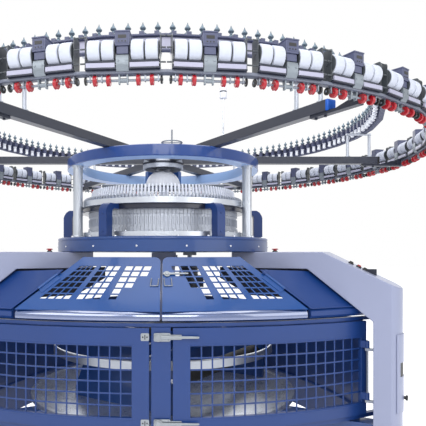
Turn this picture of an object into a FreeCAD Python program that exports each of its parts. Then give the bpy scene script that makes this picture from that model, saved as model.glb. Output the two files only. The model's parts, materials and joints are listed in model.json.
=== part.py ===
import FreeCAD, Part
import math
import os
from FreeCAD import Vector

"""Circular knitting machine with two feeder rings, in millimetres.

The origin is on the floor under the machine's axis, +Z is up and the operator's side is -Y.
Azimuths are in degrees about that axis: 0 is the front (-Y) and 90 is the right (+X).
Pieces that repeat are built once at the front and turned round the axis.
"""

# ---------------------------------------------------------------- driving dimensions
# bed, cylinder and knitting head
BED_UNDERSIDE = 1210.0
BED_THICKNESS = 90.0
BED_RADIUS = 722.0
BED_WALL = 30.0
CYLINDER_RADIUS = 432.0
CYLINDER_WALL = 30.0
CYLINDER_HEIGHT = 255.0
GEAR_RADIUS = 560.0
GEAR_THICKNESS = 34.0
PINION_RADIUS = 60.0
CAM_BASE_RADIUS = 590.0
CAM_BASE_HEIGHT = 35.0
CAM_RADIUS = 520.0
CAM_HEIGHT = 135.0
CAM_BOX_COUNT = 34
CAP_RING_RADIUS = 565.0
CAP_RING_INNER = 480.0
CAP_RING_HEIGHT = 30.0
FEEDER_RING_RADIUS = 590.0
FEEDER_RING_HEIGHT = 37.0
GUIDE_COUNT = 68
GUIDE_HEIGHT = 89.0
CAP_BRACKET_RADIUS = 695.0
CAP_BRACKET_WIDTH = 60.0
HEAD_GAP = 4.0
HEAD_SIDES = 34
HIDDEN_SIDES = 24
PIN_SIDES = 12
BED_TOP_PLATE = 25.0
CAP_BRACKET_DEPTH = 60.0

# upper frame
TOP_RING_RADIUS = 660.0
TOP_RING_WIDTH = 100.0
TOP_RING_UNDERSIDE = 1763.0
TOP_RING_HEIGHT = 67.0
UPRIGHT_RADIUS = 30.0
UPRIGHT_CIRCLE = 626.0
ARM_SIZE = 50.0
ARM_WALL = 4.0
ARM_END = 1502.0
ARM_CAP = 16.0
HUB_APOTHEM = 90.0
HUB_FLANGE_RADIUS = 145.0
HUB_FLANGE = 12.0
FAN_DOME_RADIUS = 124.0
FAN_DOME_WALL = 3.0
FAN_REACH = 430.0
FAN_SHAFT_RADIUS = 10.0
FAN_MOTOR_HEIGHT = 29.0
SHAFT_GAP = 0.05

# rings
BAYS = 34
BAY_PHASE = 6.33
OUTER_APOTHEM = 1690.0
OUTER_RAIL_TOP = 1863.0
OUTER_RAIL_WIDTH = 36.0
OUTER_RAIL_THICKNESS = 12.0
PACKAGE_RADIUS = 42.0
PACKAGE_WIDTH = 104.0
PAIR_OFFSET = 80.0
PACKAGE_AXIS_Z = 1935.0
TRAY_WIDTH = 106.0
TRAY_DEPTH = 70.0
DRIVE_UNIT_WIDTH = 54.0
WHEEL_RADIUS = 20.0
WHEEL_SPAN = 66.0
DRIVE_UNIT_TOP = 2001.0
INNER_RAIL_TOP = 2115.0
INNER_RAIL_BOTTOM = 2045.0
INNER_RAIL_OUTER = 1433.0
INNER_RAIL_INNER = 1406.0
FEEDERS_PER_BAY = 4
FEEDER_PITCH = 64.0
FEEDER_WIDTH = 38.0
FEEDER_DEPTH = 64.0
FEEDER_SPIKE = 72.0
STRUT_RADII = (1300.0, 1452.0)
STRUT_THICKNESS = 20.0
STRUT_BAR = 12.0
BRACKET_WIDTH = 36.0
BRACKET_THICKNESS = 14.0

# legs
LEG_AZIMUTHS = (60.0, 180.0, -60.0)
LEG_THICKNESS = 200.0
LEG_INNER = 1394.0
LEG_OUTER = 1489.0
LEG_ROOT = 560.0
LEG_KNEE_INNER = 1035.0
LEG_KNEE_OUTER = 1120.0
LEG_ARM_UNDERSIDE = 1110.0
LEG_SHOULDER_INNER_Z = 825.0
LEG_SHOULDER_OUTER_Z = 1031.0
LEG_FOOT_Z = 45.0
LEG_BULGE = 45.0
FOOT_RADIUS = 48.0
FOOT_PAD = 18.0
FOOT_STUD_RADIUS = 14.0

# guards, doors and lids
GUARD_MID = 966.0
GUARD_END = 1349.0
GUARD_THICKNESS = 25.0
GUARD_BOTTOM = 290.0
GUARD_TOP = 818.0
WINDOW_BOTTOM = 358.0
WINDOW_TOP = 724.0
STILE_INNER = 61.0
WINDOW_INNER = 151.0
WINDOW_OUTER = 1128.0
DOOR_OUTER = 1165.0
MESH_COLUMNS = 17
MESH_ROWS = 6
MESH_BAR = 9.0
MESH_WIRE = 4.0
MESH_BENDS = 3
POST_HALF = 50.0
RAIL_BACK = 44.0
RAIL_FRONT = 14.0
RAIL_REACH = 1260.0
RAIL_FLATS = 8
DOOR_FLATS = 6
REAR_POST_NEAR = 18.0
REAR_POST_FAR = 60.0
REAR_POST_DEPTH = 95.0
HEADER_BOTTOM = 821.0
HEADER_TOP = 841.0
LIP_BOTTOM = 850.0
LIP_TOP = 902.0
LID_TOP_Z = 1180.0
LID_TOP_Y = 738.0
LID_GAP = 6.0
LID_TOP_REACH = 448.0
LID_BOTTOM_REACH = 788.0
LID_TRAY = 22.0
SHEET = 4.0
LID_MESH_PITCH = 45.0
LID_WINDOW_TOP = 60.0
LID_WINDOW_ROWS = 5
LID_MARGIN = 50.0
LID_CORNER = 33.0
LID_KNUCKLE = 130.0
LID_HINGE_PLACE = 170.0
LID_HINGE_GAP = 20.0
LID_LUG = 22.0
LID_PIN_RADIUS = 4.0
LID_BARREL_RADIUS = 8.0
LID_LATCH_V = 120.0
LIP_EASE = 14.0
LIP_DEPTH = 46.0
LIP_FLATS = 4
FILLER_REACH = 1125.0
REAR_REACH = 1120.0
HINGE_PIN_RADIUS = 6.0
HINGE_KNUCKLE_RADIUS = 12.0
HINGE_CLEAR = 0.05
RUN_GAP = 0.4

# base, take-down and winding
BASE_BEAM_TOP = 250.0
BASE_BEAM_HEIGHT = 100.0
BASE_HUB_RADIUS = 330.0
BEARING_RADIUS = 110.0
SILL_BOTTOM = 262.0
SILL_TOP = 286.0
DISC_RADIUS = 900.0
DISC_BOTTOM = 262.0
DISC_THICKNESS = 28.0
SPINDLE_RADIUS = 60.0
TAKEDOWN_TURN = 56.0
TAKEDOWN_HALF_WIDTH = 560.0
TAKEDOWN_PLATE = 25.0
TAKEDOWN_TOP = 760.0
ROLLER_RADIUS = 38.0
ROLLER_AXIS_Z = 690.0
WINDING_AXIS_Y = -450.0
WINDING_AXIS_Z = 480.0
WINDING_RADIUS = 45.0
JOURNAL_RADIUS = 15.0

# drive
MOTOR_DISTANCE = 190.0
MOTOR_RADIUS = 85.0
MOTOR_TOP = 1096.0
MOTOR_HEIGHT = 250.0
PULLEY_Z = 1128.0
PULLEY_WIDTH = 34.0
PULLEY_RADIUS = 70.0
MOTOR_PULLEY_RADIUS = 40.0
SHAFT_RADIUS = 18.0
BELT_THICKNESS = 5.0
BELT_BENDS = 6

# controls
PANEL_BUTTON_RADII = (1261.0, 1303.0, 1337.0)
STOP_SETBACK = 89.0
STOP_RADIUS = BED_RADIUS + STOP_SETBACK
BUTTON_RADIUS = 11.0
BUTTON_CLEAR = 0.3
BUTTON_REST = 5.0
BEZEL_RADIUS = 16.0
BEZEL_HEIGHT = 8.0
PANEL_BOTTOM = 336.0
PANEL_TOP = 761.0
PANEL_HALF = 78.0
PANEL_FLATS = 5
PANEL_GAP = 1.0
PANEL_KNOB_Z = 408.0

# ---------------------------------------------------------------- derived heights
BED_TOP = BED_UNDERSIDE + BED_THICKNESS
CAM_BASE_TOP = BED_TOP + CAM_BASE_HEIGHT
CAM_TOP = CAM_BASE_TOP + CAM_HEIGHT
CAP_RING_TOP = CAM_TOP + CAP_RING_HEIGHT
FEEDER_RING_TOP = CAP_RING_TOP + FEEDER_RING_HEIGHT
HEAD_BORE = CYLINDER_RADIUS + HEAD_GAP
TOP_RING_TOP = TOP_RING_UNDERSIDE + TOP_RING_HEIGHT
ARM_TOP = TOP_RING_TOP + ARM_SIZE
GEAR_BOTTOM = BED_UNDERSIDE + 15.0
DISC_TOP = DISC_BOTTOM + DISC_THICKNESS
BASE_BEAM_LOW = BASE_BEAM_TOP - BASE_BEAM_HEIGHT
OUTER_RAIL_LOW = OUTER_RAIL_TOP - OUTER_RAIL_THICKNESS
TRAY_TOP = PACKAGE_AXIS_Z - PACKAGE_RADIUS * math.cos(math.radians(30.0))
BAY_ANGLE = 360.0 / BAYS
ARM_AZIMUTHS = tuple(30.0 + 60.0 * step for step in range(6))
ORIGIN = Vector(0, 0, 0)
UP = Vector(0, 0, 1)


# ---------------------------------------------------------------- helpers
def polar(radius, azimuth, z=0.0):
    """Point at a radius, an azimuth and a height."""
    turn = math.radians(azimuth)
    return Vector(radius * math.sin(turn), -radius * math.cos(turn), z)


def face(points):
    """Flat face with straight edges through the points."""
    return Part.Face(Part.makePolygon(points + [points[0]]))


def prism(points, along):
    """Polygon extruded along a vector."""
    return face(points).extrude(along)


def polyhedron(faces):
    """Solid closed by flat faces, each a list of points."""
    return Part.makeSolid(Part.makeShell([face(points) for points in faces]))


def front_plate(profile, width, middle=0.0):
    """Plate in the front radial plane: profile of (radius, z), width along X."""
    points = [Vector(middle - width / 2, -radius, z) for radius, z in profile]
    return prism(points, Vector(width, 0, 0))


def block(x0, x1, r0, r1, z0, z1):
    """Box at the front between two X, two radii and two heights."""
    return Part.makeBox(x1 - x0, r1 - r0, z1 - z0, Vector(x0, -r1, z0))


def drum(radius, sides, z0, z1, centre=ORIGIN):
    """Upright prism with a regular polygon's section; radius is to its corners."""
    corners = [centre + polar(radius, 360.0 * (side + 0.5) / sides, z0) for side in range(sides)]
    return prism(corners, Vector(0, 0, z1 - z0))


def flat_ring(inner, outer, z0, z1, sides=HEAD_SIDES):
    """Ring about the machine's axis with a flat for each side."""
    return drum(outer, sides, z0, z1).cut(drum(inner, sides, z0, z1))


def rod(radius, start, end):
    """Round bar between two points."""
    span = end - start
    return Part.makeCylinder(radius, span.Length, start, span)


def flat_bar(radius, sides, start, end):
    """Bar of a regular polygon's section between two points, flats up and down."""
    axis = (end - start).normalize()
    side = axis.cross(UP) if abs(axis.z) < 0.9 else Vector(1, 0, 0)
    side.normalize()
    other = axis.cross(side)
    points = []
    for corner in range(sides):
        turn = math.radians(360.0 * (corner + (0.0 if sides == 6 else 0.5)) / sides)
        points.append(start + side * (radius * math.cos(turn)) + other * (radius * math.sin(turn)))
    return prism(points, end - start)


def turned_to(shape, azimuth):
    """Copy of a front shape turned to an azimuth."""
    copy = shape.copy()
    copy.rotate(ORIGIN, UP, azimuth)
    return copy


def around(shape, azimuths):
    """Copies of a front shape at each azimuth."""
    return [turned_to(shape, azimuth) for azimuth in azimuths]


def evenly(count, first=0.0):
    """Azimuths of equally spaced places round the axis."""
    return [first + 360.0 * place / count for place in range(count)]


def bay_ring(inner, outer, z0, z1):
    """Ring of straight bay-long sides; inner and outer are distances to the flats."""
    spread = math.cos(math.radians(BAY_ANGLE / 2))
    rims = []
    for apothem in (outer, inner):
        corners = [polar(apothem / spread, BAY_PHASE + BAY_ANGLE * (bay + 0.5), z0) for bay in range(BAYS)]
        rims.append(face(corners).extrude(Vector(0, 0, z1 - z0)))
    return rims[0].cut(rims[1])


def mirrored(shape):
    """Mirror image across the machine's middle plane, X = 0."""
    return shape.mirror(ORIGIN, Vector(1, 0, 0))


def cut_by(shape, tools):
    """Largest piece left of a shape after cutting it by each tool."""
    for tool in tools:
        shape = shape.cut(tool)
    return max(shape.Solids, key=lambda solid: solid.Volume)


def save(name, *shapes):
    """Write one node from one or more solids."""
    solids = []
    for shape in shapes:
        for item in shape if isinstance(shape, (list, tuple)) else [shape]:
            solids.extend(item.Solids)
    Part.makeCompound(solids).exportStep(os.path.join("parts", name + ".step"))


# ---------------------------------------------------------------- curved guard walls
class GuardArc:
    """Plan arc of a guard wall between two legs, bulging out at the front."""

    def __init__(self, half_angle):
        half_chord = GUARD_END * math.sin(math.radians(half_angle))
        rise = GUARD_MID - GUARD_END * math.cos(math.radians(half_angle))
        self.radius = (half_chord**2 + rise**2) / (2 * rise)
        self.centre = Vector(0, self.radius - GUARD_MID, 0)

    def angle(self, x):
        """Angle about the arc's centre of the outer face's point at X."""
        return math.degrees(math.asin(x / self.radius))

    def point(self, out, angle, z):
        """Point at a distance outside the outer face."""
        return self.centre + polar(self.radius + out, angle, z)

    def on_face(self, x, z=0.0, out=0.0):
        """Point on the outer face at X, or outside it."""
        return self.point(out, self.angle(x), z)

    def normal(self, x):
        """Outward direction of the face at X."""
        return polar(1.0, self.angle(x))

    def bent(self, section, angle0, angle1, flats):
        """Section of (distance outside the face, z) carried along the wall in bent flats."""
        stations = [angle0 + (angle1 - angle0) * k / flats for k in range(flats + 1)]
        loops = [[self.point(out, angle, z) for out, z in section] for angle in stations]
        faces = [loops[0], loops[-1]]
        for near, far in zip(loops, loops[1:]):
            for corner in range(len(section)):
                after = (corner + 1) % len(section)
                faces.append([near[corner], near[after], far[after], far[corner]])
        return polyhedron(faces)

    def strip(self, out0, out1, angle0, angle1, z0, z1, flats):
        """Bent strip between two distances outside the face, two angles and two heights."""
        return self.bent([(out0, z0), (out1, z0), (out1, z1), (out0, z1)], angle0, angle1, flats)

    def upright_bar(self, angle, inset, z0, z1):
        """Flat mesh bar standing in the wall at an angle."""
        corner = Vector(-MESH_BAR / 2, -self.radius + inset, z0)
        bar = Part.makeBox(MESH_BAR, MESH_WIRE, z1 - z0, corner)
        bar.rotate(ORIGIN, UP, angle)
        bar.translate(self.centre)
        return bar

    def level_bar(self, angles, inset, z):
        """Flat mesh bar that follows the wall through the angles."""
        outer = [self.point(-inset, angle, z - MESH_BAR / 2) for angle in angles]
        inner = [self.point(-inset - MESH_WIRE, angle, z - MESH_BAR / 2) for angle in reversed(angles)]
        return prism(outer + inner, Vector(0, 0, MESH_BAR))

    def mesh(self, angle0, angle1, z0, z1):
        """Welded mesh that fills a window: upright bars in front of level bars."""
        step = (angle1 - angle0) / MESH_COLUMNS
        inset = GUARD_THICKNESS / 2 - MESH_WIRE
        bars = [self.upright_bar(angle0 + step * k, inset, z0, z1) for k in range(1, MESH_COLUMNS)]
        stops = [angle0 + (angle1 - angle0) * k / MESH_BENDS for k in range(MESH_BENDS + 1)]
        for row in range(1, MESH_ROWS):
            bars.append(self.level_bar(stops, inset + MESH_WIRE, z0 + (z1 - z0) * row / MESH_ROWS))
        return bars


ARC = GuardArc(LEG_AZIMUTHS[0])
REAR_MIDDLES = (120.0, -120.0)


# ---------------------------------------------------------------- legs and base
def leg():
    """Gooseneck leg at the front: flat arm, sloping shoulder and column with a bowed outer face."""
    half = LEG_THICKNESS / 2
    slope = (BED_UNDERSIDE - LEG_SHOULDER_OUTER_Z) / (LEG_OUTER - LEG_KNEE_OUTER)
    body = front_plate(
        [
            (LEG_ROOT, LEG_ARM_UNDERSIDE),
            (LEG_KNEE_INNER, LEG_ARM_UNDERSIDE),
            (LEG_INNER, LEG_SHOULDER_INNER_Z),
            (LEG_INNER, LEG_FOOT_Z),
            (LEG_OUTER, LEG_FOOT_Z),
            (LEG_OUTER, LEG_SHOULDER_OUTER_Z),
            (LEG_KNEE_OUTER, BED_UNDERSIDE),
            (LEG_ROOT, BED_UNDERSIDE),
        ],
        LEG_THICKNESS,
    )
    tip = LEG_OUTER + LEG_BULGE
    nose = front_plate(
        [
            (LEG_OUTER, LEG_FOOT_Z),
            (tip, LEG_FOOT_Z),
            (tip, LEG_SHOULDER_OUTER_Z - slope * LEG_BULGE),
            (LEG_OUTER, LEG_SHOULDER_OUTER_Z),
        ],
        LEG_THICKNESS,
    )
    bow = (half**2 + LEG_BULGE**2) / (2 * LEG_BULGE)
    post = Part.makeCylinder(bow, BED_UNDERSIDE, Vector(0, bow - tip, 0))
    return body.fuse(nose.common(post)).removeSplitter()


def foot():
    """Levelling foot under a leg: round pad and threaded stud."""
    middle = Vector(0, -(LEG_INNER + LEG_OUTER) / 2, 0)
    pad = drum(FOOT_RADIUS, 16, 0.0, FOOT_PAD, middle)
    stud = drum(FOOT_STUD_RADIUS, 8, FOOT_PAD, LEG_FOOT_Z, middle)
    return pad.fuse(stud)


def base_frame():
    """Three box beams from the legs to a bored hub that carries the spindle bearing."""
    hub = drum(BASE_HUB_RADIUS, 12, BASE_BEAM_LOW, BASE_BEAM_TOP)
    beam = block(-55.0, 55.0, BASE_HUB_RADIUS - 40.0, LEG_INNER, BASE_BEAM_LOW, BASE_BEAM_TOP)
    for azimuth in LEG_AZIMUTHS:
        hub = hub.fuse(turned_to(beam, azimuth))
    return hub.cut(drum(BEARING_RADIUS, 12, BASE_BEAM_LOW, BASE_BEAM_TOP)).removeSplitter()


def spindle_bearing():
    """Bearing in the base frame's hub that carries the bottom disc."""
    body = drum(BEARING_RADIUS, 12, BASE_BEAM_LOW, DISC_BOTTOM - RUN_GAP)
    bore = (SPINDLE_RADIUS + SHAFT_GAP) / math.cos(math.pi / (2 * PIN_SIDES))
    return body.cut(drum(bore, 2 * PIN_SIDES, BASE_BEAM_LOW, DISC_BOTTOM))


def front_rails(legs):
    """Curved rails over and under the doors, from leg to leg, and the post between the doors."""
    reach = ARC.angle(RAIL_REACH)
    rails = []
    for z0, z1 in ((HEADER_BOTTOM, HEADER_TOP), (SILL_BOTTOM, SILL_TOP)):
        rails.append(cut_by(ARC.strip(-RAIL_BACK, -RAIL_FRONT, -reach, reach, z0, z1, RAIL_FLATS), legs))
    side = ARC.angle(POST_HALF)
    rails.append(ARC.strip(-RAIL_BACK, -4.0, -side, side, SILL_TOP, HEADER_BOTTOM, 1))
    return rails


# ---------------------------------------------------------------- doors
HINGE_X = 1140.0
HINGE_OUT = 30.0
HINGE_HEIGHTS = (400.0, 690.0)
KNUCKLE = 40.0
LUG = 14.0
LATCH_PIVOT_X = -13.0
LATCH_REACH = 208.0
LATCH_HEIGHTS = (773.0, 333.0)
LATCH_HUB = 24.0
LATCH_OUT = 3.0
LATCH_PLATE = 4.0


def door_right():
    """Right door: curved frame, hinge straps, latch plates and the welded mesh in its window."""
    angle0, angle1 = ARC.angle(STILE_INNER), ARC.angle(DOOR_OUTER)
    window0, window1 = ARC.angle(WINDOW_INNER), ARC.angle(WINDOW_OUTER)
    leaf = ARC.strip(-GUARD_THICKNESS, 0.0, angle0, angle1, GUARD_BOTTOM, GUARD_TOP, DOOR_FLATS)
    window = ARC.strip(
        -2 * GUARD_THICKNESS, GUARD_THICKNESS, window0, window1, WINDOW_BOTTOM, WINDOW_TOP, DOOR_FLATS
    )
    frame = leaf.cut(window)
    axis = ARC.on_face(HINGE_X, 0.0, HINGE_OUT)
    along = UP.cross(ARC.normal(HINGE_X))
    bore_radius = (HINGE_PIN_RADIUS + HINGE_CLEAR) / math.cos(math.pi / PIN_SIDES)
    for height in HINGE_HEIGHTS:
        low, high = height - KNUCKLE / 2, height + KNUCKLE / 2
        lift = Vector(0, 0, low)
        corners = [
            ARC.on_face(HINGE_X - 18.0, low, -3.0),
            ARC.on_face(HINGE_X + 10.0, low, -3.0),
            axis + along * 8.0 + lift,
            axis - along * 8.0 + lift,
        ]
        strap = prism(corners, Vector(0, 0, KNUCKLE))
        knuckle = drum(HINGE_KNUCKLE_RADIUS, 8, low, high, axis)
        frame = frame.fuse(strap).fuse(knuckle).cut(drum(bore_radius, PIN_SIDES, low, high, axis))
    front = ARC.point(0.0, 0.0, 0.0).y - LATCH_OUT
    plates = []
    for height in LATCH_HEIGHTS:
        low = height - LATCH_HUB
        corner = Vector(LATCH_PIVOT_X - LATCH_HUB, front - LATCH_PLATE, low)
        plate = Part.makeBox(100.0 + LATCH_HUB, LATCH_PLATE, 2 * LATCH_HUB, corner)
        spacer = Part.makeBox(40.0, 12.0, 2 * LATCH_HUB, Vector(66.0, front, low)).cut(leaf)
        plates.append(plate.fuse(min(spacer.Solids, key=lambda solid: solid.CenterOfMass.y)))
    return [frame] + plates + ARC.mesh(window0, window1, WINDOW_BOTTOM, WINDOW_TOP)


def door_left():
    """Left door: mirror of the right door's frame and mesh, with keeper plates for the latches."""
    solids = [mirrored(solid) for solid in door_right()]
    keepers = []
    for height in LATCH_HEIGHTS:
        front = ARC.on_face(STILE_INNER).y
        keeper = Part.makeBox(44.0, 6.0, 40.0, Vector(-104.0, front - 3.0, height - 20.0))
        keepers.append(keeper.cut(solids[0]))
    latches = len(LATCH_HEIGHTS)
    return [solids[0]] + keepers + solids[1 + latches:]


def door_hinge_rod():
    """Hinge rod on lugs of the leg's inner face that the right door's knuckles turn on."""
    axis = ARC.on_face(HINGE_X, 0.0, HINGE_OUT)
    out = polar(1.0, LEG_AZIMUTHS[0])
    side = polar(1.0, LEG_AZIMUTHS[0] - 90.0)
    reach = LEG_INNER - axis.dot(out)
    bottom = HINGE_HEIGHTS[0] - KNUCKLE / 2 - RUN_GAP - LUG
    pin = Part.makeCylinder(
        HINGE_PIN_RADIUS, HINGE_HEIGHTS[1] + KNUCKLE / 2 + 4.0 - bottom, axis + Vector(0, 0, bottom)
    )
    for height in HINGE_HEIGHTS:
        base = axis + Vector(0, 0, height - KNUCKLE / 2 - RUN_GAP - LUG)
        corners = [
            base - out * 12.0 - side * 12.0,
            base + out * reach - side * 12.0,
            base + out * reach + side * 12.0,
            base - out * 12.0 + side * 12.0,
        ]
        pin = pin.fuse(prism(corners, Vector(0, 0, LUG)))
    return pin


def latch_lever(height):
    """Turning lever of a door latch: hub in front of the post and a handle over the door."""
    front = ARC.point(0.0, 0.0, 0.0).y - LATCH_OUT - LATCH_PLATE - RUN_GAP
    hub = flat_bar(
        LATCH_HUB, 12, Vector(LATCH_PIVOT_X, front - 14.0, height), Vector(LATCH_PIVOT_X, front, height)
    )
    handle = prism(
        [
            Vector(LATCH_PIVOT_X, front - 11.0, height - 10.0),
            Vector(LATCH_PIVOT_X + LATCH_REACH, front - 11.0, height - 6.0),
            Vector(LATCH_PIVOT_X + LATCH_REACH, front - 11.0, height + 6.0),
            Vector(LATCH_PIVOT_X, front - 11.0, height + 10.0),
        ],
        Vector(0, 8.0, 0),
    )
    return hub.fuse(handle)


# ---------------------------------------------------------------- lids and filler panels
class LidPlane:
    """Sloping plane of the right lid: u runs along its top edge, v down the slope."""

    def __init__(self):
        foot_out = ARC.on_face(LID_BOTTOM_REACH, LIP_TOP)
        foot_in = ARC.on_face(0.0, LIP_TOP)
        self.u = Vector(foot_out.x - foot_in.x, foot_out.y - foot_in.y, 0).normalize()
        level = Vector(self.u.y, -self.u.x, 0)
        self.origin = Vector(0, -LID_TOP_Y, LID_TOP_Z)
        run = (foot_in - self.origin).dot(level)
        drop = LID_TOP_Z - LIP_TOP
        self.length = math.hypot(run, drop)
        self.v = Vector(level.x * run, level.y * run, -drop).normalize()
        self.normal = self.v.cross(self.u).normalize()
        self.top_reach = LID_TOP_REACH / self.u.x
        self.bottom_reach = (foot_out - self.origin).dot(self.u)
        self.bottom_inner = (foot_in - self.origin).dot(self.u)

    def at(self, u, v, out=0.0):
        """Point of the plane, lifted off its outer face."""
        return self.origin + self.u * u + self.v * v + self.normal * out

    def plate(self, outline, top, depth):
        """Plate under a lifted face: outline of (u, v), down by depth."""
        return prism([self.at(u, v, top) for u, v in outline], self.normal * -depth)

    def inner_edge(self, v):
        """U of the lid's inner edge, beside the machine's middle plane."""
        return LID_GAP + self.bottom_inner * v / self.length

    def outer_edge(self, v):
        """U of the lid's slanted outer edge."""
        return self.top_reach + (self.bottom_reach - self.top_reach) * v / self.length

    def depth_of(self, z):
        """V of the plane's points at a height."""
        return (LID_TOP_Z - z) / (LID_TOP_Z - LIP_TOP) * self.length


LID = LidPlane()
BELOW_LIP = Part.makeBox(4000, 4000, 400, Vector(-2000, -2000, LIP_TOP - 400))


def lip(angle0, angle1):
    """Rolled lip along the foot of a lid or filler panel, with eased front edges."""
    section = [
        (-2.0 - LIP_EASE, LIP_TOP),
        (-2.0, LIP_TOP - LIP_EASE),
        (-2.0, LIP_BOTTOM + LIP_EASE),
        (-2.0 - LIP_EASE, LIP_BOTTOM),
        (-LIP_DEPTH, LIP_BOTTOM),
        (-LIP_DEPTH, LIP_TOP),
    ]
    return ARC.bent(section, angle0, angle1, LIP_FLATS)


def lid_window():
    """Corners of the mesh window in the lid, as (u, v)."""
    low = LID_WINDOW_TOP + LID_WINDOW_ROWS * LID_MESH_PITCH
    return [
        (40.0, LID_WINDOW_TOP),
        (LID.outer_edge(LID_WINDOW_TOP) - LID_MARGIN, LID_WINDOW_TOP),
        (LID.outer_edge(low) - LID_MARGIN, low),
        (110.0, low),
        (40.0, low - 2.0 * LID_MESH_PITCH),
    ]


def lid_hinge(place):
    """Point at a distance down the lid's hinge line, and the line's direction."""
    lift = LID_BARREL_RADIUS + 1.0
    start = LID.at(LID.outer_edge(0.0) + LID_HINGE_GAP / 2, 0.0, lift)
    end = LID.at(LID.outer_edge(LID.length) + LID_HINGE_GAP / 2, LID.length, lift)
    along = (end - start).normalize()
    return start + along * place, along


def hinge_leaf(place, length, side):
    """Leaf from the lid's hinge line down to the sheet on one side of it."""
    low, along = lid_hinge(place)
    across = along.cross(LID.normal).normalize()
    if across.dot(LID.u) * side < 0:
        across = across * -1.0
    lift = LID_BARREL_RADIUS + 1.0
    points = [
        low - LID.normal * lift,
        low + across * 34.0 - LID.normal * lift,
        low + across * 34.0 - LID.normal * (lift - 3.0),
        low - LID.normal * 2.0,
    ]
    return prism(points, along * length)


def lid_right():
    """Right lid: folded tray, lip, hinge barrel, handle, latch plate and the mesh in its window."""
    corner = LID_CORNER
    foot_v = LID.length
    outline = [
        (LID.inner_edge(0.0) + corner, 0.0),
        (LID.outer_edge(0.0), 0.0),
        (LID.outer_edge(foot_v), foot_v),
        (LID.outer_edge(foot_v), foot_v + 30.0),
        (LID.inner_edge(foot_v), foot_v + 30.0),
        (LID.inner_edge(foot_v), foot_v),
        (LID.inner_edge(corner), corner),
        (LID.inner_edge(0.0) + corner * 0.29, corner * 0.29),
    ]
    inside = [
        (LID.inner_edge(0.0) + corner + SHEET, SHEET),
        (LID.outer_edge(SHEET) - 1.6 * SHEET, SHEET),
        (LID.outer_edge(foot_v) - 1.6 * SHEET, foot_v),
        (LID.outer_edge(foot_v) - 1.6 * SHEET, foot_v + 40.0),
        (LID.inner_edge(foot_v) + SHEET, foot_v + 40.0),
        (LID.inner_edge(foot_v) + SHEET, foot_v),
        (LID.inner_edge(corner) + SHEET, corner + SHEET),
    ]
    tray = LID.plate(outline, 0.0, LID_TRAY)
    tray = tray.cut(LID.plate(inside, -SHEET, LID_TRAY))
    tray = tray.cut(LID.plate(lid_window(), 1.0, LID_TRAY)).cut(BELOW_LIP)
    lid = tray.fuse(lip(ARC.angle(LID_GAP), ARC.angle(LID_BOTTOM_REACH)))
    low, along = lid_hinge(LID_HINGE_PLACE)
    barrel = flat_bar(LID_BARREL_RADIUS, 6, low, low + along * LID_KNUCKLE)
    bore_radius = (LID_PIN_RADIUS + HINGE_CLEAR) / math.cos(math.pi / PIN_SIDES)
    bore = flat_bar(bore_radius, PIN_SIDES, low, low + along * LID_KNUCKLE)
    lid = lid.fuse(barrel.fuse(hinge_leaf(LID_HINGE_PLACE, LID_KNUCKLE, -1.0))).cut(bore)
    return [lid, lid_handle()] + lid_mesh()


def lid_mesh():
    """Welded mesh in the right lid's window."""
    window = lid_window()
    low = window[2][1]
    opening = LID.plate(window, 0.0, LID_TRAY)
    bars = []
    u = window[0][0] + LID_MESH_PITCH
    while u < window[2][0] - LID_MESH_PITCH / 2:
        outline = [(u, LID_WINDOW_TOP), (u + MESH_BAR, LID_WINDOW_TOP), (u + MESH_BAR, low), (u, low)]
        bars.append(LID.plate(outline, 0.0, SHEET / 2).common(opening))
        u += LID_MESH_PITCH
    for row in range(1, LID_WINDOW_ROWS):
        v = LID_WINDOW_TOP + row * LID_MESH_PITCH - MESH_BAR / 2
        outline = [(0.0, v), (LID.bottom_reach, v), (LID.bottom_reach, v + MESH_BAR), (0.0, v + MESH_BAR)]
        bars.append(LID.plate(outline, -SHEET / 2, SHEET / 2).common(opening))
    return bars


def lid_handle():
    """Bent handle on the right lid's lower inner corner."""
    v0, v1 = 150.0, 200.0
    u0 = LID.inner_edge(v1) + 10.0
    outline = [(u0, v0), (u0 + 44.0, v0), (u0 + 44.0, v1), (u0, v1)]
    notch = [(u0 + 9.0, v0 - 2.0), (u0 + 35.0, v0 - 2.0), (u0 + 35.0, v1 - 9.0), (u0 + 9.0, v1 - 9.0)]
    return LID.plate(outline, 9.0, 9.0).cut(LID.plate(notch, 10.0, 12.0))


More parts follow.
